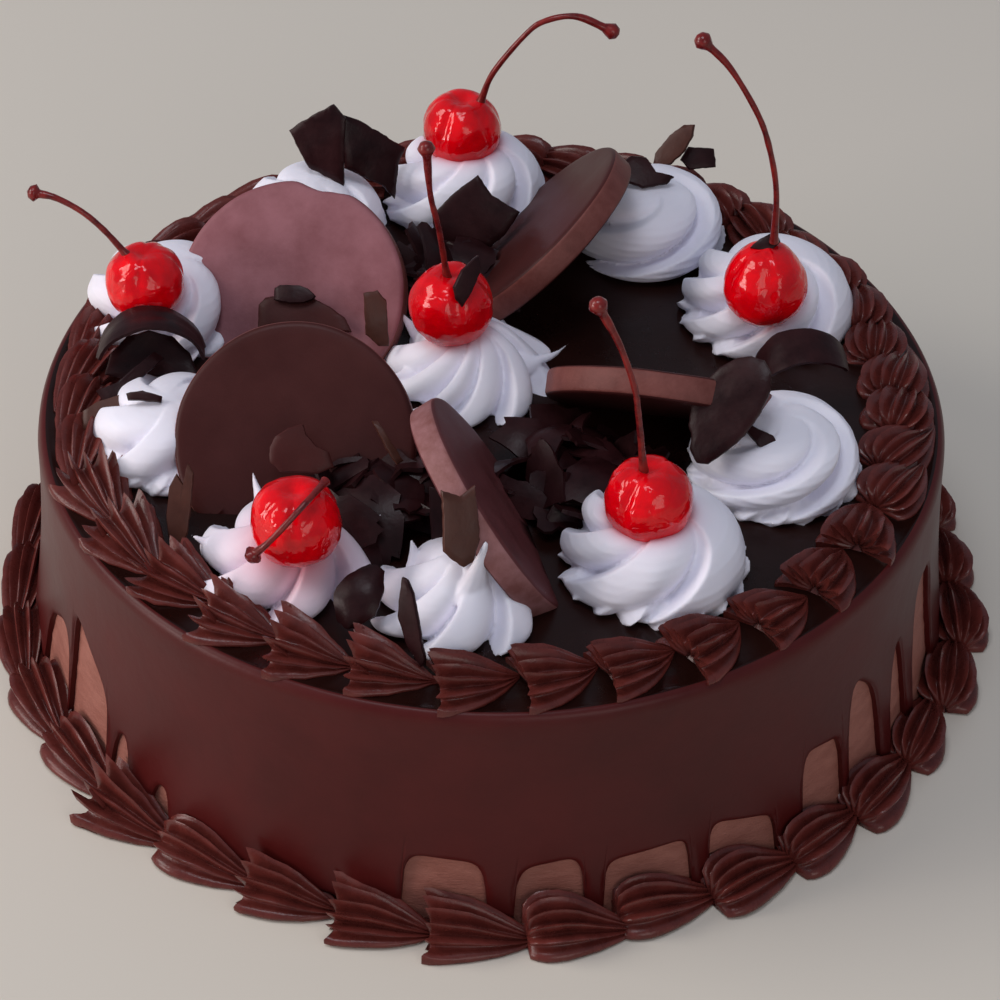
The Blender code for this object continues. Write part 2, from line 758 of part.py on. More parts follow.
def heap(name, x, y, spread_x, spread_y, count, seed):
    """A heap of shavings: a low core with broken leaves standing out of it."""
    draw = random.Random(seed)
    rings = []
    for share, rise in ((1.0, -2.0), (0.86, 0.45), (0.45, 0.9)):
        ring = []
        for angle in even_angles(HEAP_SIDES):
            reach = share * draw.uniform(0.9, 1.1)
            ring.append(
                (
                    x + spread_x * reach * math.cos(angle),
                    y + spread_y * reach * math.sin(angle),
                    TOP_LEVEL + HEAP_CORE_HEIGHT * rise,
                )
            )
        rings.append(ring)
    rings.append([(x, y, TOP_LEVEL + HEAP_CORE_HEIGHT)])
    pieces = [new_object(f"{name}_core", *loft(rings))]
    for i in range(count):
        around = 2.0 * math.pi * (i + draw.uniform(-0.3, 0.3)) / count
        out = 0.75 if i % 3 else 0.30
        taper = (draw.uniform(0.5, 0.9), 1.0, draw.uniform(0.7, 1.0), draw.uniform(0.2, 0.6))
        length, width, bend = draw.uniform(11.0, 18.0), draw.uniform(7.0, 12.0), draw.uniform(15.0, 70.0)
        points, faces = shard_points(length, width, bend, taper)
        place = Matrix.Translation(
            (x + out * spread_x * math.cos(around), y + out * spread_y * math.sin(around), TOP_LEVEL + 5.0)
        )
        place = place @ turned(math.degrees(around), draw.uniform(5.0, 55.0), draw.uniform(-35.0, 35.0))
        pieces.append(new_object(f"{name}_{i}", [place @ Vector(point) for point in points], faces))
    obj = fuse(name, pieces)
    cut_with(obj, below("below_heap", TOP_LEVEL))
    keep_largest(obj)
    return obj


def build():
    """Makes the hard pieces first, and cuts each later piece back from those before it."""
    clear_scene()
    draw = random.Random(SHELL_SEED)
    cake_body()
    ganache_coat()
    placed = []
    for name, spec in DISCS.items():
        placed.append(disc(name, spec))
    for name, offsets in STEMS.items():
        placed.append(stem(name, offsets, CHERRIES[name.replace("stem", "cherry")]))
    for name, spec in CHERRIES.items():
        placed.append(cherry(name, spec))
    for name, spec in SHARDS.items():
        placed.append(shard(name, spec))
    for i, obj in enumerate(placed):
        carve(obj, placed[:i])
    creams = [rosette(name, spec) for name, spec in ROSETTES.items()]
    for i, obj in enumerate(creams):
        carve(obj, placed + creams[:i])
    heaps = [heap(name, *values) for name, values in HEAPS.items()]
    for i, obj in enumerate(heaps):
        carve(obj, placed + creams + heaps[:i])
    border = top_border(draw)
    carve(border, placed + creams + heaps)
    foot = base_border(draw)
    looks = (
        ("disc", "thin_chocolate", BROWN["disc"]),
        ("shard", "dark_chocolate", BROWN["shard"]),
        ("shavings", "dark_chocolate", BROWN["shard"]),
        ("stem", "cherry_stem", STEM_BROWN),
        ("cherry", "cocktail_cherry", CHERRY_RED),
        ("rosette", "whipped_cream", CREAM),
        ("top_border", "piped_ganache", BROWN["piping"]),
        ("base_border", "piped_ganache", BROWN["piping"]),
    )
    for obj in [*placed, *creams, *heaps, border, foot]:
        for start, name, look in looks:
            if obj.name.startswith(start):
                finish(obj, name, look)


build()
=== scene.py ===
"""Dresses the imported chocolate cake: poured ganache, piped borders, piped cream, cherries and chocolate.

Every size in the classes is in millimetres. The origin is the centre of the cake's flat underside,
+Z is up and -Y is the side that the camera sees.
"""

import logging
import math
import random
from dataclasses import dataclass, field
from enum import Enum

import bmesh
import bpy
import numpy as np
from mathutils import Matrix, Vector, noise

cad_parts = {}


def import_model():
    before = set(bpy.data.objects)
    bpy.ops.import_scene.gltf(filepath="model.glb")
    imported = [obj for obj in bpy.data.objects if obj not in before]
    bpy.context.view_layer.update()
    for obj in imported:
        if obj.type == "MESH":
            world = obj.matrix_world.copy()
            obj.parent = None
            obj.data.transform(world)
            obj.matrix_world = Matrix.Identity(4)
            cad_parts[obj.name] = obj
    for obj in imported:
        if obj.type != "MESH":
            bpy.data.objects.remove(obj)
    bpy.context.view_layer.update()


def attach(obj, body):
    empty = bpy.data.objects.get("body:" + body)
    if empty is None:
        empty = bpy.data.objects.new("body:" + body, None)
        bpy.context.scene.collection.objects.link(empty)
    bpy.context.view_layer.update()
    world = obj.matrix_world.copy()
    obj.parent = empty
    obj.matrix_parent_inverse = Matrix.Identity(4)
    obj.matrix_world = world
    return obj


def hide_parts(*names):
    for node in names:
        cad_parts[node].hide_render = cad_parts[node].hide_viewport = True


LOG = logging.getLogger("cake")
MM = 0.001
# The level that the toppings stand on, and how deep cream and chocolate are pressed into it
TOP = 61.35
CREAM_SEAT = TOP - 0.6
CUT_LEVEL = TOP - 1.0
# The coat's outside: the side's height, its radius at the top, and how far its foot flares out
CAKE_HEIGHT = 61.0
TOP_RADIUS = 108.0
FOOT_FLARE = 5.0
# How many shells are made in each style, and how many leaves for each heap
SHELL_VARIANTS = 4
LEAF_VARIANTS = 8

Point = tuple[float, float, float]
Skin = tuple[list[Point], list[tuple[int, ...]]]


def linear(hex_colour: str) -> tuple[float, float, float, float]:
    """Turns an sRGB hex colour into linear light.

    Args:
        hex_colour: Six hex digits with no mark before them.

    Returns:
        Red, green and blue in linear light, with full alpha.
    """
    shares = [int(hex_colour[i : i + 2], 16) / 255.0 for i in (0, 2, 4)]
    light = [s / 12.92 if s <= 0.04045 else ((s + 0.055) / 1.055) ** 2.4 for s in shares]
    return (*light, 1.0)


def add_node(tree: bpy.types.NodeTree, kind: str, settings: dict | None = None, links: dict | None = None):
    """Adds one node with its settings and links.

    Args:
        tree: The tree that gets the node.
        kind: The node's type name.
        settings: Property names, or input names or numbers, with their values.
        links: Input names or numbers, with the output sockets that feed them.

    Returns:
        The new node.
    """
    node = tree.nodes.new(kind)
    for key, value in (settings or {}).items():
        if isinstance(key, str) and hasattr(node, key):
            setattr(node, key, value)
        else:
            node.inputs[key].default_value = value
    for key, socket in (links or {}).items():
        tree.links.new(socket, node.inputs[key])
    return node


def per_metre(size_mm: float) -> float:
    """The texture scale that makes a pattern's features this many millimetres wide."""
    return 1000.0 / size_mm


class Finish:
    """What every finish shares: one material that carries its name."""

    name: str

    def material(self) -> bpy.types.Material:
        """Gives the finish's material, and builds it the first time."""
        if self.name not in bpy.data.materials:
            made = bpy.data.materials.new(self.name)
            made.use_nodes = True
            place = add_node(made.node_tree, "ShaderNodeTexCoord").outputs["Object"]
            self.paint(made.node_tree, made.node_tree.nodes["Principled BSDF"].inputs, place)
        return bpy.data.materials[self.name]

    def paint(self, tree: bpy.types.NodeTree, shader: bpy.types.NodeInputs, place: bpy.types.NodeSocket) -> None:
        """Adds the finish's patterns and sets its surface.

        Args:
            tree: The material's tree.
            shader: The inputs of its surface shader.
            place: Where on the piece a point lies, in metres.
        """
        raise NotImplementedError


@dataclass(frozen=True)
class ChocolateFinish(Finish):
    """A cocoa-butter surface: two close browns in soft patches, a satin to wet gloss and a fine uneven skin."""

    name: str
    dark: str
    light: str
    rough_low: float
    rough_high: float
    patch_mm: float = 9.0
    skin_mm: float = 1.6
    skin_depth_mm: float = 0.12
    coat: float = 0.0
    streak: float = 1.0
    shine: float = 0.32

    def paint(self, tree: bpy.types.NodeTree, shader: bpy.types.NodeInputs, place: bpy.types.NodeSocket) -> None:
        """Adds the finish's patterns and sets its surface."""
        place = add_node(
            tree, "ShaderNodeMapping", {"Scale": (1.0, 1.0, self.streak)}, {"Vector": place}
        ).outputs["Vector"]
        patches = add_node(
            tree,
            "ShaderNodeTexNoise",
            {"Scale": per_metre(self.patch_mm), "Detail": 6.0, "Roughness": 0.62},
            {"Vector": place},
        ).outputs["Fac"]
        spread = add_node(
            tree, "ShaderNodeMapRange", {"From Min": 0.32, "From Max": 0.68}, {"Value": patches}
        ).outputs["Result"]
        colour = add_node(
            tree, "ShaderNodeMix", {"data_type": "RGBA", 6: linear(self.dark), 7: linear(self.light)}, {0: spread}
        ).outputs[2]
        gloss = add_node(
            tree,
            "ShaderNodeMapRange",
            {"From Min": 0.3, "From Max": 0.7, "To Min": self.rough_low, "To Max": self.rough_high},
            {"Value": patches},
        ).outputs["Result"]
        grain = add_node(
            tree,
            "ShaderNodeTexNoise",
            {"Scale": per_metre(self.skin_mm), "Detail": 4.0, "Roughness": 0.55},
            {"Vector": place},
        ).outputs["Fac"]
        bump = add_node(
            tree,
            "ShaderNodeBump",
            {"Strength": 1.0, "Distance": self.skin_depth_mm * MM},
            {"Height": grain},
        ).outputs["Normal"]
        tree.links.new(colour, shader["Base Color"])
        tree.links.new(gloss, shader["Roughness"])
        tree.links.new(bump, shader["Normal"])
        shader["IOR"].default_value = 1.45
        shader["Specular IOR Level"].default_value = self.shine
        shader["Coat Weight"].default_value = self.coat
        shader["Coat Roughness"].default_value = 0.08


@dataclass(frozen=True)
class CreamFinish(Finish):
    """Whipped cream: light passes a little way in, so its folds stay soft, under a fine matte skin."""

    name: str
    colour: str
    syrup: str
    depth_mm: float = 1.4
    skin_mm: float = 1.1

    def paint(self, tree: bpy.types.NodeTree, shader: bpy.types.NodeInputs, place: bpy.types.NodeSocket) -> None:
        """Adds the finish's patterns and sets its surface."""
        pores = add_node(
            tree,
            "ShaderNodeTexNoise",
            {"Scale": per_metre(self.skin_mm), "Detail": 3.0},
            {"Vector": place},
        ).outputs["Fac"]
        bump = add_node(
            tree, "ShaderNodeBump", {"Strength": 0.5, "Distance": 0.05 * MM}, {"Height": pores}
        ).outputs["Normal"]
        gloss = add_node(
            tree, "ShaderNodeMapRange", {"To Min": 0.42, "To Max": 0.62}, {"Value": pores}
        ).outputs["Result"]
        stain = add_node(tree, "ShaderNodeAttribute", {"attribute_name": "syrup"}).outputs["Fac"]
        colour = add_node(
            tree, "ShaderNodeMix", {"data_type": "RGBA", 6: linear(self.colour), 7: linear(self.syrup)}, {0: stain}
        ).outputs[2]
        tree.links.new(colour, shader["Base Color"])
        tree.links.new(bump, shader["Normal"])
        tree.links.new(gloss, shader["Roughness"])
        shader["Subsurface Weight"].default_value = 0.25
        shader["Subsurface Radius"].default_value = (1.0, 0.9, 0.85)
        shader["Subsurface Scale"].default_value = self.depth_mm * MM


@dataclass(frozen=True)
class CherryFinish(Finish):
    """Cherry skin in syrup: deep red with light inside it, under a wet clear coat that wrinkles."""

    name: str
    deep: str
    bright: str

    def paint(self, tree: bpy.types.NodeTree, shader: bpy.types.NodeInputs, place: bpy.types.NodeSocket) -> None:
        """Adds the finish's patterns and sets its surface."""
        flesh = add_node(
            tree, "ShaderNodeTexNoise", {"Scale": per_metre(7.0), "Detail": 3.0}, {"Vector": place}
        ).outputs["Fac"]
        spread = add_node(
            tree, "ShaderNodeMapRange", {"From Min": 0.3, "From Max": 0.65}, {"Value": flesh}
        ).outputs["Result"]
        colour = add_node(
            tree, "ShaderNodeMix", {"data_type": "RGBA", 6: linear(self.deep), 7: linear(self.bright)}, {0: spread}
        ).outputs[2]
        folds = add_node(
            tree,
            "ShaderNodeTexNoise",
            {"Scale": per_metre(4.5), "Detail": 2.0, "Distortion": 0.8},
            {"Vector": place},
        ).outputs["Fac"]
        bump = add_node(
            tree, "ShaderNodeBump", {"Strength": 1.0, "Distance": 0.45 * MM}, {"Height": folds}
        ).outputs["Normal"]
        tree.links.new(colour, shader["Base Color"])
        tree.links.new(bump, shader["Normal"])
        tree.links.new(bump, shader["Coat Normal"])
        shader["Roughness"].default_value = 0.16
        shader["IOR"].default_value = 1.42
        shader["Specular IOR Level"].default_value = 0.2
        shader["Coat Weight"].default_value = 0.5
        shader["Coat Roughness"].default_value = 0.03
        shader["Subsurface Weight"].default_value = 0.35
        shader["Subsurface Radius"].default_value = (1.0, 0.12, 0.06)
        shader["Subsurface Scale"].default_value = 3.0 * MM


class Look(Enum):
    """The cake's finishes, each named for what it is made of and how."""

    # Ganache poured down the side and set: satin, so the side shows one broad soft sheen
    SIDE = ChocolateFinish("poured_ganache_side", "440f0e", "501615", 0.34, 0.44, 30.0, 5.0, 0.10, shine=0.28)
    # The same ganache on the level top, smoother, with its colour painted far darker than the side's as painted shade:
    # nearly black with wet reflections
    TOP = ChocolateFinish("poured_ganache_top", "1b0906", "240e0a", 0.22, 0.36, 22.0, 7.0, 0.12, shine=0.28)
    # Milk chocolate buttercream spread with a knife: matte and paler, with faint level strokes
    CREAM_WALL = ChocolateFinish("chocolate_buttercream", "90594d", "a1695c", 0.50, 0.62, 7.0, 1.4, 0.22, streak=3.0)
    # Ganache whipped stiff and piped: satin ribs that catch a thin light on their crests
    PIPED = ChocolateFinish("star_piped_ganache", "54231f", "6a2e28", 0.22, 0.34, 5.0, 0.9, 0.06, shine=0.42)
    # Tempered milk chocolate with bloom: dusty mauve patches over brown
    MILK_DISC = ChocolateFinish("bloomed_milk_chocolate", "7c484d", "946067", 0.42, 0.60, 12.0, 0.8, 0.05)
    # Tempered dark chocolate: even, smooth and barely glossy
    DARK_DISC = ChocolateFinish("tempered_dark_chocolate", "3c1816", "441d1b", 0.38, 0.48, 16.0, 0.8, 0.03, shine=0.22)
    # The same chocolate scuffed dull: a little lighter
    DULL_DISC = ChocolateFinish("scuffed_dark_chocolate", "52292a", "623436", 0.44, 0.56, 10.0, 0.8, 0.05, shine=0.22)
    # The edge that the mould or knife left: paler and a little rough
    DISC_RIM = ChocolateFinish("disc_edge_chocolate", "64332d", "784640", 0.45, 0.60, 5.0, 0.7, 0.10)
    # The same edge where bloom has turned it dusty
    PALE_RIM = ChocolateFinish("bloomed_disc_edge", "7a4b47", "96696a", 0.48, 0.62, 5.0, 0.7, 0.10)
    # Couverture broken into leaves: nearly black, with a soft shine on each face
    SHARD = ChocolateFinish("broken_couverture", "1d0a0c", "2f1416", 0.26, 0.44, 8.0, 1.2, 0.06, shine=0.20)
    # Paler leaves of milk couverture
    SHARD_MILK = ChocolateFinish("broken_milk_couverture", "40221a", "502d23", 0.34, 0.50, 7.0, 1.2, 0.06)
    # Cream whipped stiff and cool in tone, pink where syrup ran into it
    CREAM = CreamFinish("fresh_whipped_cream", "f0effb", "c8405e")
    # Bleached cherries dyed red and kept in syrup
    CHERRY = CherryFinish("syrup_cherry_skin", "c4000f", "f00012")
    # Cherry stalks stained by the syrup: thin, hard and a little shiny
    STALK = ChocolateFinish("stained_cherry_stalk", "540c10", "8a241f", 0.22, 0.36, 3.0, 0.6, 0.06, coat=0.3)


def mesh_object(name: str, skin: Skin, looks: list[Look], sharp: float = 45.0) -> bpy.types.Object:
    """Makes a smooth-shaded object from points in millimetres.

    Args:
        name: The object's name.
        skin: Its points and faces.
        looks: The finishes of its material slots.
        sharp: Edges that turn more than this many degrees stay crisp.

    Returns:
        The object, linked to the scene.
    """
    points, faces = skin
    mesh = bpy.data.meshes.new(name)
    mesh.from_pydata([tuple(c * MM for c in p) for p in points], [], faces)
    work = bmesh.new()
    work.from_mesh(mesh)
    bmesh.ops.remove_doubles(work, verts=work.verts, dist=1e-6)
    bmesh.ops.recalc_face_normals(work, faces=work.faces)
    work.to_mesh(mesh)
    work.free()
    obj = bpy.data.objects.new(name, mesh)
    bpy.context.scene.collection.objects.link(obj)
    for look in looks:
        mesh.materials.append(look.value.material())
    mesh.shade_smooth()
    mesh.set_sharp_from_angle(angle=math.radians(sharp))
    return obj


def settle(obj: bpy.types.Object) -> bpy.types.Object:
    """Turns an object's live modifiers into its plain mesh."""
    bpy.context.view_layer.update()
    graph = bpy.context.evaluated_depsgraph_get()
    mesh = bpy.data.meshes.new_from_object(obj.evaluated_get(graph))
    before = obj.data
    obj.modifiers.clear()
    obj.data = mesh
    bpy.data.meshes.remove(before)
    mesh.name = obj.name
    return obj


def dress(obj: bpy.types.Object, slot: str, *nodes: str) -> bpy.types.Object:
    """Lets a finished piece ride on the cake and stand for its CAD nodes."""
    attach(obj, "root")
    if nodes:
        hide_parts(*nodes)
    LOG.info("%s: %d faces", obj.name, len(obj.data.polygons))
    return obj


def loft(rings: list[list[Point]], start: Point | None = None, end: Point | None = None) -> Skin:
    """Skins closed rings of equal count, in order.

    Args:
        rings: The rings, each a list of points.
        start: A pole that closes the first ring, or None to close it flat.
        end: A pole that closes the last ring, or None to close it flat.

    Returns:
        The points and faces.
    """
    count = len(rings[0])
    points = [tuple(p) for ring in rings for p in ring]
    faces: list[tuple[int, ...]] = []
    for row in range(len(rings) - 1):
        for i in range(count):
            j = (i + 1) % count
            a, b = row * count, (row + 1) * count
            faces.append((a + i, a + j, b + j, b + i))
    for pole, base in ((start, 0), (end, (len(rings) - 1) * count)):
        if pole is None:
            faces.append(tuple(range(base, base + count)))
            continue
        points.append(tuple(pole))
        tip = len(points) - 1
        faces.extend((base + i, base + (i + 1) % count, tip) for i in range(count))
    return points, faces


def joined(skins: list[Skin]) -> Skin:
    """Puts several skins into one."""
    points: list[Point] = []
    faces: list[tuple[int, ...]] = []
    for more, loops in skins:
        start = len(points)
        points.extend(more)
        faces.extend(tuple(start + i for i in loop) for loop in loops)
    return points, faces


def rough(x: float, y: float, z: float, size: float, seed: float = 0.0) -> float:
    """A smooth random value from about -1 to 1, with features about this many millimetres wide."""
    return noise.noise(Vector((x / size + seed, y / size - seed, z / size + 2.0 * seed)))


def smooth_path(points: list[Vector], count: int) -> list[Vector]:
    """Points along one smooth curve through the given ones."""
    padded = [2 * points[0] - points[1], *points, 2 * points[-1] - points[-2]]
    spans = len(points) - 1
    path = []
    for i in range(count + 1):
        along = spans * i / count
        span = min(int(along), spans - 1)
        t = along - span
        a, b, c, d = padded[span : span + 4]
        curve = (2 * a - 5 * b + 4 * c - d) * t**2 + (3 * b - a - 3 * c + d) * t**3
        path.append(0.5 * (2 * b + (c - a) * t + curve))
    return path


def crest(share: float, count: int, sharp: float = 1.4) -> float:
    """How far out a star-tip flute stands: 1 on its thin crest, 0 in the wide groove beside it.

    Args:
        share: The place round the section, from 0 to 1.
        count: How many flutes there are.
        sharp: How thin the crests are; 1 is a plain wave.

    Returns:
        A value from 0 to 1.
    """
    return (0.5 - 0.5 * math.cos(2.0 * math.pi * share * count)) ** sharp


def smoothstep(t: float) -> float:
    """An even rise from 0 to 1, level at both ends."""
    t = min(1.0, max(0.0, t))
    return t * t * (3.0 - 2.0 * t)


def side_radius(z: float) -> float:
    """The radius of the coat's outside at a height."""
    return TOP_RADIUS + FOOT_FLARE * (1.0 - z / CAKE_HEIGHT) ** 2


@dataclass(frozen=True)
class Window:
    """A place where the poured coat stops short: degrees, height, and how its top slopes and rounds."""

    centre: float
    half_width: float
    top: float
    slope: float = 0.0
    square: float = 4.0


@dataclass
class CakeSide:
    """The cake with its buttercream wall, and the ganache poured over it."""

    cream_top: float = 55.0
    coat_thickness: float = 1.5
    columns: int = 1200
    rows: int = 26
    # How high the coat ends where it runs down furthest
    edge_low: float = 2.6
    # Its inside: the level under the top, the radius there, and the wall's radius as a share of the outside's
    ceiling: float = 58.0
    ceiling_radius: float = 104.5
    inner_share: float = 0.9735
    # Its outside: where the wall ends, the ridge over it as insets and levels, and the rings of the flat top
    wall_top: float = 58.2
    ridge: tuple[tuple[float, float], ...] = (
        (0.12, 59.4), (0.5, 60.4), (1.1, 61.2), (1.9, 61.5), (2.7, 61.3), (3.6, 61.0),
    )
    top_rings: tuple[float, ...] = (100.0, 92.0, 80.0, 66.0, 50.0, 34.0, 18.0, 6.0)
    top_level: float = 61.05
    windows: tuple[Window, ...] = (
        Window(-158.5, 5.2, 26.0, 0.22, 4.0),
        Window(-147.8, 5.0, 32.0, -0.26, 6.0),
        Window(-140.0, 1.9, 17.5, 0.1, 2.5),
        Window(-132.4, 1.7, 12.0, 0.1, 2.5),
        Window(-94.6, 5.0, 18.6, -0.04, 6.0),
        Window(-82.2, 4.2, 17.4, 0.08, 5.0),
        Window(-70.4, 5.4, 16.6, 0.04, 8.0),
        Window(-57.8, 4.9, 16.5, -0.18, 7.0),
        Window(-45.1, 3.7, 25.0, -0.05, 6.0),
        Window(-36.9, 3.5, 33.5, -0.18, 4.0),
        Window(-28.6, 2.3, 34.0, 0.0, 2.0),
        Window(-19.6, 4.4, 42.0, 0.0, 4.0),
        Window(30.0, 5.2, 26.0, 0.1),
        Window(84.0, 4.4, 21.0, -0.1),
        Window(136.0, 5.0, 29.0, 0.15),
    )

    def lowest(self, degrees: float) -> float:
        """The height where the coat ends at a place round the side."""
        low = self.edge_low + 1.2 * math.sin(math.radians(degrees) * 31.0) * math.sin(math.radians(degrees) * 7.0)
        for window in self.windows:
            off = (degrees - window.centre + 180.0) % 360.0 - 180.0
            u = off / window.half_width
            if abs(u) < 1.0:
                arch = (1.0 - abs(u) ** window.square) ** (1.0 / max(2.0, 0.6 * window.square))
                low = max(low, window.top * arch * (1.0 + window.slope * u))
        return low

    def body(self) -> bpy.types.Object:
        """Builds the solid cake with its spread buttercream wall."""
        count, levels = 240, [0.0, *np.linspace(1.0, self.cream_top, 28)]
        rings = []
        for z in levels:
            ring = []
            for i in range(count):
                a = 2.0 * math.pi * i / count
                r = side_radius(z) - self.coat_thickness - 0.15
                r += 0.22 * rough(110 * math.cos(a), 110 * math.sin(a), 4.0 * z, 9.0, 3.1)
                ring.append((r * math.cos(a), r * math.sin(a), float(z)))
            rings.append(ring)
        skin = loft(rings, (0.0, 0.0, 0.0), (0.0, 0.0, self.cream_top))
        return dress(mesh_object("cake_buttercream", skin, [Look.CREAM_WALL]), "chocolate_cream", "cake_body")

    def thickness(self, angles: np.ndarray, low: np.ndarray, heights: np.ndarray) -> np.ndarray:
        """How thick the coat is at each point of its wall: rounded off towards its free edge.

        Args:
            angles: The columns' angles in radians.
            low: The coat's lower edge at each column.
            heights: The wall's heights, one row of them for each level.

        Returns:
            Thicknesses in millimetres, in the shape of heights.
        """
        reach = 14
        spread = np.full(heights.shape, 99.0)
        for shift in range(-reach, reach + 1):
            arc = abs(shift) * (angles[1] - angles[0]) * TOP_RADIUS
            edge = np.roll(low, shift)
            above = np.clip(heights - edge[None, :], 0.0, None)
            spread = np.minimum(spread, np.hypot(above, arc))
        share = np.clip(spread / 1.7, 0.0, 1.0)
        return self.coat_thickness * np.sqrt(1.0 - (1.0 - share) ** 2)

    def coat(self) -> bpy.types.Object:
        """Builds the poured coat: ragged at its foot, with a low ridge round its top edge."""
        angles = np.linspace(-math.pi, math.pi, self.columns, endpoint=False)
        low = np.array([self.lowest(math.degrees(a)) for a in angles])
        shares = np.linspace(0.0, 1.0, self.rows) ** 1.6
        heights = low[None, :] + shares[:, None] * (self.wall_top - low[None, :])
        thick = self.thickness(angles, low, heights)
        inner = [self.inner_share * side_radius(z) for z in low]
        foot = [(r * math.cos(a), r * math.sin(a), z) for r, a, z in zip(inner, angles, low)]
        rings = [self.level(angles, self.ceiling_radius, self.ceiling, 0.0), foot]
        for row, share in enumerate(shares):
            ring = []
            for i, a in enumerate(angles):
                z = heights[row, i]
                r = side_radius(z) - self.coat_thickness + thick[row, i]
                r += 0.25 * rough(60 * math.cos(a), 60 * math.sin(a), 0.5 * z, 11.0, 7.0) * share
                ring.append((r * math.cos(a), r * math.sin(a), z))
            rings.append(ring)
        for inset, z in self.ridge:
            rings.append(self.level(angles, TOP_RADIUS - inset, z, 0.14))
        for radius in self.top_rings:
            rings.append(self.level(angles, radius, self.top_level, 0.35))
        skin = loft(rings, (0.0, 0.0, self.ceiling), (0.0, 0.0, 61.1))
        obj = mesh_object("poured_coat", skin, [Look.SIDE, Look.TOP], 50.0)
        # Faces of the flat top take the top finish, whose darker colour is painted shade
        for face in obj.data.polygons:
            middle = face.center / MM
            if middle.z > 60.5 and math.hypot(middle.x, middle.y) < TOP_RADIUS - 2.2:
                face.material_index = 1
        return dress(obj, "ganache_coat", "ganache_coat")

    def level(self, angles: np.ndarray, radius: float, z: float, wave: float) -> list[Point]:
        """One ring of the top at a radius, a little uneven."""
        return [
            (
                radius * math.cos(a),
                radius * math.sin(a),
                z + wave * rough(radius * math.cos(a), radius * math.sin(a), 0.0, 24.0, 5.0),
            )
            for a in angles
        ]


class ShellStyle(Enum):
    """How a piped shell came off the nozzle, as its outline from tail to head: place along it and size shares."""

    NEAT = (
        (0.0, 0.08), (0.08, 0.23), (0.20, 0.46), (0.35, 0.68), (0.50, 0.84), (0.64, 0.94), (0.77, 0.99), (0.88, 1.0),
        (0.95, 0.98), (1.0, 0.91), (0.985, 0.64), (0.93, 0.25),
    )
    RAGGED = (
        (0.0, 0.06), (0.09, 0.18), (0.22, 0.39), (0.38, 0.61), (0.54, 0.79), (0.68, 0.92), (0.80, 1.0), (0.90, 1.04),
        (0.96, 1.04), (1.0, 1.0), (0.97, 0.62), (0.90, 0.2),
    )
    PLUMP = (
        (0.0, 0.08), (0.10, 0.26), (0.24, 0.50), (0.40, 0.74), (0.55, 0.90), (0.68, 0.98), (0.78, 1.0), (0.86, 0.96),
        (0.92, 0.87), (0.97, 0.72), (1.0, 0.48), (1.0, 0.18),
    )


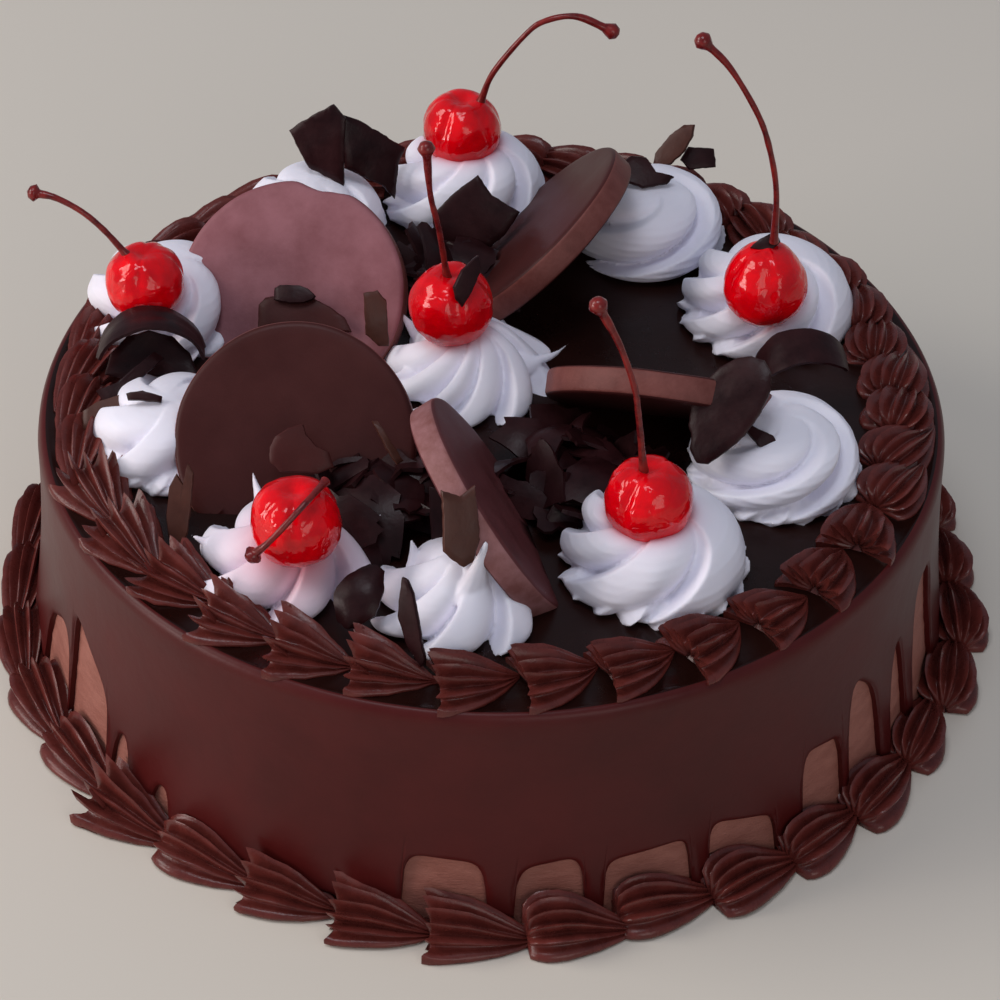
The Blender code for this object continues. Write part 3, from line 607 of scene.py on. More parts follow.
@dataclass
class ShellBorder:
    """A ring of shells piped with a star nozzle, head over tail, set out by Geometry Nodes."""

    name: str
    node: str
    arcs: tuple[tuple[float, float, int], ...]
    ring: float
    length: float
    half_width: float
    height: float
    level: float
    flutes: int
    seed: int
    outward: tuple[float, float, float]
    stretch: tuple[float, float, float]
    plump_out: float = 0.0
    groove: float = 0.36

    def shell(self, style: ShellStyle, seed: int) -> Skin:
        """One shell along X: ribs that spread from its pointed tail at +X and end in tips round its head at -X.

        Args:
            style: How it came off the nozzle.
            seed: What makes it differ from others of its style.

        Returns:
            The points and faces in millimetres.
        """
        draw = random.Random(seed)
        n, m = self.flutes, self.flutes * 10
        ragged, plump = style is ShellStyle.RAGGED, style is ShellStyle.PLUMP
        reach_span = (0.3, 1.3) if ragged else (0.2, 0.4) if plump else (0.4, 0.9)
        reach = [draw.uniform(*reach_span) for _ in range(n + 1)]
        proud = [draw.uniform(*((0.90, 1.10) if ragged else (0.97, 1.03))) for _ in range(n + 1)]
        upturn = [0.0 if plump else draw.uniform(0.0, 0.34 if ragged else 0.26) for _ in range(n + 1)]
        bend, wind = draw.uniform(-0.10, 0.14), draw.uniform(-0.25, 0.25)
        rings = []
        last = len(style.value) - 3
        for row, (along, size) in enumerate(style.value):
            tip = max(0.0, (along - 0.7) / 0.3) ** 2 if row <= last else 0.0
            top, low = [], []
            for i in range(m + 1):
                share = i / m
                k = round(share * n)
                out = crest(share + 0.5 / n, n, 1.15)
                turn = math.pi * share
                turn += wind * math.sin(turn) * along
                grow = size * (1.0 - self.groove * (1.0 - out)) * (1.0 + (proud[k] - 1.0) * out)
                grow *= 1.0 + 0.13 * reach[k] * out**3 * tip
                x = self.length * (0.5 - along) - 2.4 * reach[k] * out**3 * tip
                y = self.half_width * math.cos(turn) * grow + bend * self.length * (1.0 - along) ** 2
                lump = (0.55 if ragged else 0.22) * rough(x, y, 9.0 * share, 2.6, float(seed))
                y += lump * math.cos(turn)
                arch = max(0.0, math.sin(turn)) ** 0.8 * grow * (0.55 + 0.45 * min(1.0, along / 0.6))
                z = lump * math.sin(turn) + self.height * (arch + upturn[k] * out**3 * tip)
                top.append((x, y, z))
                low.append((x, 0.97 * y, -0.7))
            rings.append([*top, *low[::-5]])
        tail, head = (0.5 * self.length + 0.3, bend * self.length, 0.0), (-0.38 * self.length, 0.0, 0.2 * self.height)
        skins = [loft(rings, tail, head)]
        if ragged:
            skins.extend(self.spike(draw, k) for k in range(2))
        return joined(skins)

    def spike(self, draw: random.Random, number: int) -> Skin:
        """A thin torn flake that stands from the head of a ragged shell."""
        side = (-0.5, 0.55)[number] * self.half_width
        root = Vector((-0.30 * self.length, side, 0.55 * self.height))
        aim = Vector((-0.55, side / self.half_width * 0.5, draw.uniform(0.2, 0.7)))
        tip = root + aim * self.height * draw.uniform(0.6, 0.95)
        across = aim.cross(Vector((0, 0, 1))).normalized()
        rings = []
        for t, w in ((0.0, 1.6), (0.5, 1.0), (0.9, 0.3)):
            c = root.lerp(tip, t) + Vector((0, 0, 0.8 * t * t))
            thick = Vector((0, 0, 0.45))
            rings.append([tuple(p) for p in (c + across * w, c + thick, c - across * w, c - thick)])
        return loft(rings, None, tuple(tip))

    def prototypes(self) -> bpy.types.Collection:
        """The hidden shells that the tree sets out, in the order of ShellStyle."""
        styles = [style for style in ShellStyle for _ in range(SHELL_VARIANTS)]
        shells = [
            mesh_object(f"{self.name}_{number:02d}", self.shell(style, self.seed + 17 * number), [Look.PIPED], 75.0)
            for number, style in enumerate(styles)
        ]
        return hidden_pieces(self.name + "_shells", shells)

    def style_at(self, degrees: float) -> ShellStyle:
        """Which style stands at a place round the cake, as the photograph shows it."""
        degrees = (degrees + 180.0) % 360.0 - 180.0
        if self.node == "base_border":
            if -142.0 < degrees < -124.0:
                return ShellStyle.RAGGED
            return ShellStyle.NEAT if -116.0 < degrees < -82.0 else ShellStyle.PLUMP
        if -165.0 < degrees < -92.0:
            return ShellStyle.RAGGED
        return ShellStyle.NEAT if -92.0 <= degrees < -17.0 else ShellStyle.PLUMP

    def seats(self) -> bpy.types.Object:
        """The points where shells sit, each with its turn, size and kind as attributes."""
        draw = random.Random(self.seed)
        order = list(ShellStyle)
        seats = Seats()
        for degrees in [begin + (end - begin) * i / count for begin, end, count in self.arcs for i in range(count)]:
            a = math.radians(degrees)
            style = self.style_at(degrees)
            kind = order.index(style)
            r = self.ring + draw.uniform(-0.8, 0.8) + (self.plump_out if style is ShellStyle.PLUMP else 0.0)
            lean = self.outward[kind] + draw.uniform(-6, 6)
            turn = (math.radians(draw.uniform(-3.0, 3.0)), 0.0, a + math.pi / 2 + math.radians(lean))
            long = draw.uniform(0.94, 1.04) * self.stretch[kind]
            size = (long, draw.uniform(0.92, 1.04), draw.uniform(0.88, 1.06))
            variant = kind * SHELL_VARIANTS + draw.randrange(SHELL_VARIANTS)
            seats.add((r * math.cos(a), r * math.sin(a), self.level), turn, size, variant)
        return seats.build(self.name)

    def build(self) -> bpy.types.Object:
        """Sets the shells out and gives the plain mesh of the whole border."""
        obj = self.seats()
        tree = set_out_tree(self.name + "_tree", Look.PIPED)
        run_tree(obj, tree, {"Pieces": self.prototypes()})
        return dress(obj, "piped_ganache", self.node)


def hidden_pieces(name: str, pieces: list[bpy.types.Object]) -> bpy.types.Collection:
    """Puts pieces that only a tree uses into a collection outside the scene."""
    group = bpy.data.collections.new(name)
    for piece in pieces:
        bpy.context.scene.collection.objects.unlink(piece)
        group.objects.link(piece)
    return group


@dataclass
class Seats:
    """The points where a tree puts its pieces, each with its turn, its size and which piece it takes."""

    points: list[Point] = field(default_factory=list)
    turns: list[Point] = field(default_factory=list)
    sizes: list[Point] = field(default_factory=list)
    kinds: list[int] = field(default_factory=list)

    def add(self, point: Point, turn: Point, size: Point, kind: int) -> None:
        """Adds one seat, with its point in millimetres and its turn in radians."""
        self.points.append(point)
        self.turns.append(turn)
        self.sizes.append(size)
        self.kinds.append(kind)

    def build(self, name: str) -> bpy.types.Object:
        """Gives the points as an object that carries the attributes turn, size and kind."""
        mesh = bpy.data.meshes.new(name)
        mesh.from_pydata([tuple(c * MM for c in p) for p in self.points], [], [])
        for label, values in (("turn", self.turns), ("size", self.sizes)):
            layer = mesh.attributes.new(label, "FLOAT_VECTOR", "POINT")
            layer.data.foreach_set("vector", [c for v in values for c in v])
        mesh.attributes.new("kind", "INT", "POINT").data.foreach_set("value", self.kinds)
        obj = bpy.data.objects.new(name, mesh)
        bpy.context.scene.collection.objects.link(obj)
        return obj


def set_out_tree(name: str, look: Look) -> bpy.types.NodeTree:
    """A Geometry Nodes tree that puts one of a collection's pieces at each point.

    The points carry the attributes turn, size and kind.

    Args:
        name: The tree's name.
        look: The finish that its result takes.

    Returns:
        The tree, with the named inputs Geometry, Pieces and Scale.
    """
    tree = bpy.data.node_groups.new(name, "GeometryNodeTree")
    tree.interface.new_socket("Geometry", in_out="INPUT", socket_type="NodeSocketGeometry")
    tree.interface.new_socket("Pieces", in_out="INPUT", socket_type="NodeSocketCollection")
    tree.interface.new_socket("Scale", in_out="INPUT", socket_type="NodeSocketFloat").default_value = 1.0
    tree.interface.new_socket("Geometry", in_out="OUTPUT", socket_type="NodeSocketGeometry")
    given = add_node(tree, "NodeGroupInput").outputs
    pieces = add_node(
        tree,
        "GeometryNodeCollectionInfo",
        {"Separate Children": True, "Reset Children": True},
        {"Collection": given["Pieces"]},
    ).outputs["Instances"]
    read = {}
    for label, kind in (("turn", "FLOAT_VECTOR"), ("size", "FLOAT_VECTOR"), ("kind", "INT")):
        named = add_node(tree, "GeometryNodeInputNamedAttribute", {"data_type": kind, "Name": label})
        read[label] = named.outputs["Attribute"]
    scale = add_node(
        tree, "ShaderNodeVectorMath", {"operation": "SCALE"}, {0: read["size"], "Scale": given["Scale"]}
    ).outputs["Vector"]
    placed = add_node(
        tree,
        "GeometryNodeInstanceOnPoints",
        {"Pick Instance": True},
        {
            "Points": given["Geometry"],
            "Instance": pieces,
            "Instance Index": read["kind"],
            "Rotation": read["turn"],
            "Scale": scale,
        },
    ).outputs["Instances"]
    real = add_node(tree, "GeometryNodeRealizeInstances", None, {"Geometry": placed}).outputs["Geometry"]
    last = add_node(
        tree, "GeometryNodeSetMaterial", {"Material": look.value.material()}, {"Geometry": real}
    ).outputs["Geometry"]
    add_node(tree, "NodeGroupOutput", None, {"Geometry": last})
    return tree


def run_tree(obj: bpy.types.Object, tree: bpy.types.NodeTree, values: dict) -> bpy.types.Object:
    """Runs a tree on an object with its inputs set by identifier, and keeps the result as a plain mesh."""
    modifier = obj.modifiers.new(tree.name, "NODES")
    modifier.node_group = tree
    for item in tree.interface.items_tree:
        if item.in_out == "INPUT" and item.name in values:
            modifier[item.identifier] = values[item.name]
    return settle(obj)


class Piping(Enum):
    """How a rosette was piped, as its outline from foot to top: height, radius and rise shares."""

    NEST = (
        (0.0, 0.86, 0.0), (0.06, 0.97, 0.05), (0.16, 1.0, 0.16), (0.3, 0.98, 0.34), (0.45, 0.91, 0.54),
        (0.6, 0.80, 0.72), (0.74, 0.64, 0.86), (0.88, 0.40, 0.95), (1.0, 0.08, 1.0),
    )
    DROP = (
        (0.0, 0.88, 0.0), (0.06, 1.0, 0.05), (0.16, 0.97, 0.15), (0.3, 0.86, 0.31), (0.45, 0.73, 0.48),
        (0.6, 0.58, 0.66), (0.76, 0.40, 0.84), (0.9, 0.22, 0.96), (1.0, 0.05, 1.0),
    )


@dataclass(frozen=True)
class Peak:
    """A pulled tip of cream: where it springs from and where it ends, from the rosette's foot."""

    root: Point
    tip: Point
    radius: float = 2.6


@dataclass(frozen=True)
class Rosette:
    """One piped cream rosette: folds that lap over each other and wind up to its middle.

    Each fold starts at a crisp edge, given as an angle at the foot, and falls away counterclockwise
    to the next. The twist is how far the folds wind from foot to top.
    """

    name: str
    x: float
    y: float
    diameter: float
    height: float
    piping: Piping
    folds: tuple[float, ...]
    twist: float = 80.0
    groove: float = 0.32
    flare: float = 0.06
    skirt: float = 0.0
    peaks: tuple[Peak, ...] = ()
    soak: float = 1.3

    def fold_at(self, degrees: float) -> tuple[int, float, float]:
        """Which fold an angle falls in, how far through it, and that fold's width in degrees."""
        starts = sorted(f % 360.0 for f in self.folds)
        degrees %= 360.0
        number = sum(1 for f in starts if f <= degrees) - 1
        begin = starts[number]
        width = (starts[(number + 1) % len(starts)] - begin) % 360.0 or 360.0
        return number % len(starts), ((degrees - begin) % 360.0) / width, width

    def stand(self, u: float, width: float) -> float:
        """How far out a fold stands: up sharply at its crisp edge, then gently down to the next one."""
        edge = min(0.35, 9.0 / width)
        if u < edge:
            return smoothstep(u / edge)
        return math.cos(0.5 * math.pi * ((u - edge) / (1.0 - edge)) ** 1.7)

    def body(self) -> Skin:
        """The lapped folds, from the foot to the top."""
        draw = random.Random(self.name)
        reaches = [draw.uniform(0.3, 1.0) for _ in self.folds]
        lifts = [draw.uniform(-0.8, 1.4) for _ in self.folds]
        spots, radii, rises = zip(*self.piping.value)
        rings = []
        for v in (0.0, 0.04, 0.09, 0.15, 0.22, 0.3, 0.38, 0.46, 0.54, 0.62, 0.7, 0.78, 0.85, 0.91, 0.96, 1.0):
            base = 0.5 * self.diameter * float(np.interp(v, spots, radii))
            rise = self.height * float(np.interp(v, spots, rises))
            free = max(0.0, 1.0 - v / 0.55) ** 1.5
            ring = []
            for i in range(240):
                degrees = 1.5 * i
                number, u, width = self.fold_at(degrees)
                out = self.stand(u, width)
                r = base * (1.0 - self.groove * (1.0 - 0.25 * v) * (1.0 - out))
                r *= 1.0 + self.flare * reaches[number] * free * out**3
                a = math.radians(degrees + self.twist * v**0.85 - 11.0 * out)
                z = CREAM_SEAT + rise + lifts[number] * out * math.sin(math.pi * min(1.0, 1.2 * v + 0.1))
                wobble = 0.35 * rough(r * math.cos(a), r * math.sin(a), z, 7.0, float(len(self.name)) + self.x)
                ring.append((self.x + (r + wobble) * math.cos(a), self.y + (r + wobble) * math.sin(a), z))
            rings.append(ring)
        return loft(rings, (self.x, self.y, CREAM_SEAT), (self.x, self.y, CREAM_SEAT + self.height))

    def foot(self) -> Skin:
        """The small pointed teeth that the nozzle leaves round the foot."""
        draw = random.Random(self.name + "foot")
        count = round(math.pi * self.diameter / 7.5)
        rings = []
        for v, radius in ((0.0, 0.95), (0.35, 1.0), (0.7, 0.97), (1.0, 0.86)):
            ring = []
            for i in range(count * 8):
                s = i / (count * 8)
                tooth = abs(2.0 * ((s * count) % 1.0) - 1.0)
                r = 0.5 * self.diameter * radius * (1.0 + self.skirt * (1.0 - tooth - 0.6))
                r *= 0.95 + 0.05 * draw.random()
                a = 2.0 * math.pi * s + 0.25 * v
                ring.append((self.x + r * math.cos(a), self.y + r * math.sin(a), CREAM_SEAT + 4.8 * v))
            rings.append(ring)
        return loft(rings, (self.x, self.y, CREAM_SEAT), (self.x, self.y, TOP + 4.2))

    def peak(self, peak: Peak) -> Skin:
        """A tip pulled out of the cream: it narrows quickly, then runs thin and bends up."""
        middle = Vector((self.x, self.y, TOP))
        root, tip = middle + Vector(peak.root), middle + Vector(peak.tip)
        along = (tip - root).normalized()
        side = along.orthogonal().normalized()
        other = along.cross(side)
        rings = []
        for t, share in ((0.0, 1.0), (0.2, 0.80), (0.4, 0.58), (0.6, 0.40), (0.8, 0.24), (0.95, 0.13)):
            r = peak.radius * share
            c = root.lerp(tip, t) + Vector((0, 0, -0.9 * math.sin(math.pi * t)))
            turns = np.linspace(0, 2 * math.pi, 10, endpoint=False)
            rings.append([tuple(c + side * r * math.cos(q) + other * 0.7 * r * math.sin(q)) for q in turns])
        return loft(rings, tuple(root), tuple(tip))

    def stain(self, obj: bpy.types.Object) -> None:
        """Marks how much syrup has run into the cream at each point near the rosette's cherry, if it has one."""
        layer = obj.data.attributes.new("syrup", "FLOAT", "POINT")
        for cherry in CHERRIES:
            if self.name.endswith(cherry.number):
                gaps = [(vertex.co / MM - cherry.centre).length - Cherry.radius for vertex in obj.data.vertices]
                layer.data.foreach_set("value", [0.8 * math.exp(-max(0.0, gap) / self.soak) for gap in gaps])

    def build(self) -> bpy.types.Object:
        """Fuses the piped parts into one soft body of cream."""
        skins = [self.body()]
        if self.skirt:
            skins.append(self.foot())
        skins += [self.peak(peak) for peak in self.peaks]
        obj = mesh_object(self.name + "_cream", joined(skins), [Look.CREAM], 180.0)
        remesh = obj.modifiers.new("Remesh", "REMESH")
        remesh.mode = "VOXEL"
        remesh.voxel_size = 0.42 * MM
        soften = obj.modifiers.new("Smooth", "SMOOTH")
        soften.factor = 0.5
        soften.iterations = 2
        settle(obj)
        obj.data.materials.clear()
        obj.data.materials.append(Look.CREAM.value.material())
        obj.data.shade_smooth()
        self.stain(obj)
        return dress(obj, "whipped_cream", self.name)


@dataclass(frozen=True)
class Cherry:
    """A stemmed cherry: its centre, size, shape and the course of its stalk from the centre."""

    number: str
    x: float
    y: float
    lift: float
    scale: float
    stalk: tuple[Point, ...]
    drop: float = 0.0
    seed: float = 1.0
    radius: float = 10.0

    @property
    def centre(self) -> Vector:
        """The cherry's middle."""
        return Vector((self.x, self.y, TOP + self.lift))

    def build_fruit(self) -> bpy.types.Object:
        """Builds the fruit: round, dimpled at the stalk, with creases and soft wrinkles in its skin."""
        draw = random.Random(int(self.seed * 100))
        creases = [(draw.uniform(-math.pi, math.pi), draw.uniform(0.04, 0.09)) for _ in range(4)]
        radius = self.radius * self.scale
        rings = []
        for k in range(1, 56):
            polar = math.pi * (1.0 - k / 56.0)
            ring = []
            for i in range(84):
                a = 2 * math.pi * i / 84
                d = Vector((math.sin(polar) * math.cos(a), math.sin(polar) * math.sin(a), math.cos(polar)))
                r = radius * (1.0 - 0.20 * math.exp(-((polar / 0.34) ** 2)))
                swell = 0.045 * noise.noise(d * 1.3 + Vector((self.seed, 0, 0)))
                r *= 1.0 + swell + 0.016 * noise.noise(d * 4.2 + Vector((0, self.seed, 0)))
                for middle, depth in creases:
                    off = (a - middle + math.pi) % (2 * math.pi) - math.pi
                    crease = math.exp(-((off / 0.13) ** 2)) * math.sin(polar) * math.exp(-((polar - 0.9) ** 2) / 0.5)
                    r *= 1.0 - depth * crease
                if polar < 1.1:
                    r += self.drop * (1.0 - polar / 1.1) ** 2
                ring.append(tuple(self.centre + d * r))
            rings.append(ring)
        low = self.centre + Vector((0, 0, -0.97 * radius))
        high = self.centre + Vector((0, 0, 0.79 * radius + self.drop))
        obj = mesh_object(f"cherry_{self.number}_fruit", loft(rings, tuple(low), tuple(high)), [Look.CHERRY], 180.0)
        return dress(obj, "cherry", f"cherry_{self.number}")

    def build_stalk(self) -> bpy.types.Object:
        """Builds the stalk: thin, a little knotty, thicker where it joined the twig."""
        path = smooth_path([self.centre + Vector(p) for p in self.stalk], 40)
        rings = []
        side = Vector((0.0, 1.0, 0.0))
        turns = np.linspace(0, 2 * math.pi, 12, endpoint=False)
        for k, point in enumerate(path):
            t = k / 40.0
            along = (path[min(k + 1, 40)] - path[max(k - 1, 0)]).normalized()
            across = along.cross(side).normalized()
            side = across.cross(along).normalized()
            radius = 0.72 + 0.5 * math.exp(-t / 0.05) + 0.10 * rough(60 * t, 0, 0, 4.0, self.seed)
            radius += 1.35 * math.exp(-(((1.0 - t) / 0.035) ** 2)) + 0.25 * math.exp(-(((0.9 - t) / 0.1) ** 2))
            rings.append([tuple(point + radius * (math.cos(q) * across + math.sin(q) * side)) for q in turns])
        along = (path[-1] - path[-2]).normalized()
        end = path[-1] + 1.3 * along
        knob = [tuple(end + 1.5 * (math.cos(q) * across + math.sin(q) * side)) for q in turns]
        skin = loft([*rings, knob], tuple(path[0]), tuple(path[-1] + 2.0 * along))
        obj = mesh_object(f"cherry_{self.number}_stalk", skin, [Look.STALK], 70.0)
        return dress(obj, "cherry_stem", f"stem_{self.number}")


@dataclass(frozen=True)
class Disc:
    """A thick disc of chocolate pressed into the top: its centre, the way its face looks, and its finish."""

    node: str
    x: float
    y: float
    lift: float
    facing: Point
    look: Look
    seed: float
    chips: tuple[tuple[float, float], ...] = ()
    radius: float = 28.0
    thickness: float = 6.6
    rim: Look = Look.DISC_RIM

    def build(self) -> bpy.types.Object:
        """Builds the disc with a softly rounded, slightly uneven edge, cut off inside the cake's top."""
        facing = Vector(self.facing).normalized()
        across = facing.cross(Vector((0, 0, 1))).normalized()
        up = across.cross(facing)
        centre = Vector((self.x, self.y, TOP + self.lift))
        edge = self.radius
        profile = [(edge * share, 0.0) for share in (0.3, 0.58, 0.78, 0.89, 0.95)]
        profile += [(edge - 0.6, -0.15), (edge - 0.2, -0.5), (edge, -1.1), (edge, -3.2), (edge, -5.5)]
        profile += [(edge - 0.2, -6.1), (edge - 0.6, -6.45)]
        profile += [(edge * share, -self.thickness) for share in (0.95, 0.78, 0.4)]
        count = 128
        rings = []
        for r, depth in profile:
            ring = []
            for i in range(count):
                a = 2 * math.pi * i / count
                swell = 1.0 + 0.006 * rough(30 * math.cos(a), 30 * math.sin(a), 0, 12.0, self.seed) * (r / 28.0)
                sink = 0.16 * rough(r * math.cos(a), r * math.sin(a), depth, 13.0, self.seed)
                for middle, bite in self.chips:
                    off = (a - middle + math.pi) % (2 * math.pi) - math.pi
                    if r > 21.0:
                        swell -= bite / 28.0 * math.exp(-((off / 0.09) ** 2)) * (r - 21.0) / 7.0
                spot = centre + (depth + sink) * facing + r * swell * (math.cos(a) * across + math.sin(a) * up)
                ring.append(tuple(spot))
            rings.append(ring)
        back = centre - self.thickness * facing
        obj = mesh_object(self.node + "_plate", loft(rings, tuple(centre), tuple(back)), [self.look, self.rim], 40.0)
        for face in obj.data.polygons:
            if abs(face.normal.dot(facing)) < 0.6:
                face.material_index = 1
        cut_below(obj, CUT_LEVEL)
        return dress(obj, "thin_chocolate", self.node)


def cut_below(obj: bpy.types.Object, level: float) -> None:
    """Cuts a piece off flat under a level and closes the cut."""
    work = bmesh.new()
    work.from_mesh(obj.data)
    geometry = [*work.verts, *work.edges, *work.faces]
    cut = bmesh.ops.bisect_plane(
        work, geom=geometry, plane_co=(0, 0, level * MM), plane_no=(0, 0, 1), clear_inner=True
    )
    rim = [piece for piece in cut["geom_cut"] if isinstance(piece, bmesh.types.BMEdge)]
    if rim:
        bmesh.ops.holes_fill(work, edges=rim, sides=0)
    work.to_mesh(obj.data)
    work.free()


@dataclass(frozen=True)
class Leaf:
    """A broken leaf of chocolate: its size, how it bends along and across, and how ragged its edges are."""

    length: float
    width: float
    bend: float
    taper: tuple[float, ...] = (0.55, 1.0, 0.9, 0.35)
    cup: float = 0.0
    ragged: float = 0.10
    thickness: float = 1.2

    def skin(self, seed: float, along: int = 14, across: int = 7) -> Skin:
        """The closed skin of the leaf, its length along X and its faces along Z.

        Args:
            seed: What makes its broken edges differ from other leaves'.
            along: How many cells it has lengthwise.
            across: How many cells it has from side to side.

        Returns:
            The points and faces in millimetres.
        """
        knots = np.linspace(0.0, 1.0, len(self.taper))
        spot, slope = Vector((0.0, 0.0, 0.0)), -0.5 * math.radians(self.bend)
        step, curl = self.length / along, math.radians(self.bend) / along
        upper, lower, middles = [], [], []
        for i in range(along + 1):
            middles.append((spot.copy(), slope))
            spot = spot + Vector((math.cos(slope), 0.0, math.sin(slope))) * step
            slope += curl
        centre = (middles[0][0] + middles[-1][0]) / 2
        for i, (spine, slope) in enumerate(middles):
            t = i / along
            normal = Vector((-math.sin(slope), 0.0, math.cos(slope)))
            half = 0.5 * self.width * float(np.interp(t, knots, self.taper))
            row_up, row_down = [], []
            for j in range(across + 1):
                s = 2.0 * j / across - 1.0
                edge = abs(s) ** 3
                y = half * s * (1.0 + self.ragged * edge * rough(22 * t, 9 * s, 0, 2.6, seed))
                sway = self.ragged * self.length * 0.5 * (abs(2 * t - 1) ** 4) * rough(7 * s, 3 * t, 0, 2.2, seed + 5)
                bow = self.cup * half * (1.0 - s * s) + 0.35 * rough(9 * t, 5 * s, 0, 3.0, seed + 9)
                base = spine - centre + Vector((math.cos(slope), 0, math.sin(slope))) * sway
                base = base + Vector((0, y, 0)) + normal * bow
                thin = self.thickness * (1.0 - 0.35 * edge)
                row_up.append(tuple(base + normal * thin / 2))
                row_down.append(tuple(base - normal * thin / 2))
            upper.append(row_up)
            lower.append(row_down)
        return self.shut(upper, lower, along, across)

    def shut(self, upper: list, lower: list, along: int, across: int) -> Skin:
        """Closes the leaf's two faces along its broken edge."""
        wide = across + 1
        points = [p for row in upper for p in row] + [p for row in lower for p in row]
        under = wide * (along + 1)
        faces: list[tuple[int, ...]] = []
        for i in range(along):
            for j in range(across):
                a, b = i * wide + j, (i + 1) * wide + j
                faces.append((a, b, b + 1, a + 1))
                faces.append((under + a, under + a + 1, under + b + 1, under + b))
        rim = [j for j in range(across)] + [i * wide + across for i in range(along)]
        rim += [along * wide + j for j in range(across, 0, -1)] + [i * wide for i in range(along, 0, -1)]
        for a, b in zip(rim, rim[1:] + rim[:1]):
            faces.append((a, b, under + b, under + a))
        return points, faces


def turned(heading: float, rise: float, roll: float) -> Matrix:
    """A turn whose X axis points by heading round Z and rise above level, rolled about itself, in degrees."""
    return (
        Matrix.Rotation(math.radians(heading), 4, "Z")
        @ Matrix.Rotation(-math.radians(rise), 4, "Y")
        @ Matrix.Rotation(math.radians(roll), 4, "X")
    )


def lay_leaf(name: str, skin: Skin, look: Look, *nodes: str) -> bpy.types.Object:
    """Makes a leaf, cuts off what would stand inside the cake, and lets it stand for its CAD nodes."""
    obj = mesh_object(name, skin, [look], 38.0)
    if min(v.co.z for v in obj.data.vertices) < CUT_LEVEL * MM:
        cut_below(obj, CUT_LEVEL)
    return dress(obj, "dark_chocolate", *nodes)


@dataclass(frozen=True)
class Shard:
    """A single leaf where it lies: its middle, and how it stands."""

    node: str
    x: float
    y: float
    lift: float
    leaf: Leaf
    heading: float
    rise: float
    roll: float
    look: Look = Look.SHARD

    def build(self) -> bpy.types.Object:
        """Builds the leaf in its place."""
        seed = float(int(self.node[-2:])) * 1.7
        points, faces = self.leaf.skin(seed, 18, 8)
        place = Matrix.Translation((self.x, self.y, TOP + self.lift)) @ turned(self.heading, self.rise, self.roll)
        skin = ([tuple(place @ Vector(p)) for p in points], faces)
        return lay_leaf(self.node + "_leaf", skin, self.look, self.node)


@dataclass(frozen=True)
class Plate:
    """A single flat-broken leaf: its outline on a plane that faces a given way, bowed a little.

    The outline's first value runs level to the right and its second up the plane, from the middle.
    """

    node: str
    middle: Point
    facing: Point
    outline: tuple[tuple[float, float], ...]
    look: Look = Look.SHARD
    bow: float = 0.8
    thickness: float = 1.3
    more: str = ""

    def skin(self) -> Skin:
        """The closed skin of the leaf, with small nicks along its broken edge."""
        facing = Vector(self.facing).normalized()
        right = Vector((0, 0, 1)).cross(facing).normalized()
        up = facing.cross(right)
        middle = Vector(self.middle) + Vector((0, 0, TOP))
        corners = [Vector((*corner, 0.0)) for corner in self.outline]
        seed = float(sum(map(ord, self.node + self.more)))
        edge = []
        for a, b in zip(corners, corners[1:] + corners[:1]):
            steps = max(1, round((b - a).length / 0.9))
            for k in range(steps):
                spot = a.lerp(b, k / steps)
                nick = 0.32 * rough(spot.x, spot.y, 0.0, 1.5, seed)
                edge.append(spot + nick * Vector((b - a).orthogonal()).normalized() if k else spot)
        wide = max(corner.length for corner in corners)
        rings = []
        face = ((0.25, 0.5), (0.5, 0.5), (0.75, 0.5), (0.94, 0.46), (1.0, 0.22))
        for share, depth in (*face, (1.0, -0.22), (0.94, -0.46), (0.6, -0.5)):
            ring = []
            for spot in edge:
                flat = spot * share
                lift = self.bow * (1.0 - (flat.length / wide) ** 2) + 0.3 * rough(flat.x, flat.y, 0.0, 6.0, seed)
                ring.append(tuple(middle + right * flat.x + up * flat.y + facing * (lift + depth * self.thickness)))
            rings.append(ring)
        front = middle + facing * (self.bow + 0.5 * self.thickness)
        back = middle + facing * (self.bow - 0.5 * self.thickness)
        return loft(rings, tuple(front), tuple(back))

    def build(self) -> bpy.types.Object:
        """Builds the leaf in its place. A second piece of a shard, named by more, stands for no node; one of them is a
        dark sheet of painted shadow.
        """
        nodes = () if self.more else (self.node,)
        return lay_leaf(f"{self.node}_leaf{self.more}", self.skin(), self.look, *nodes)


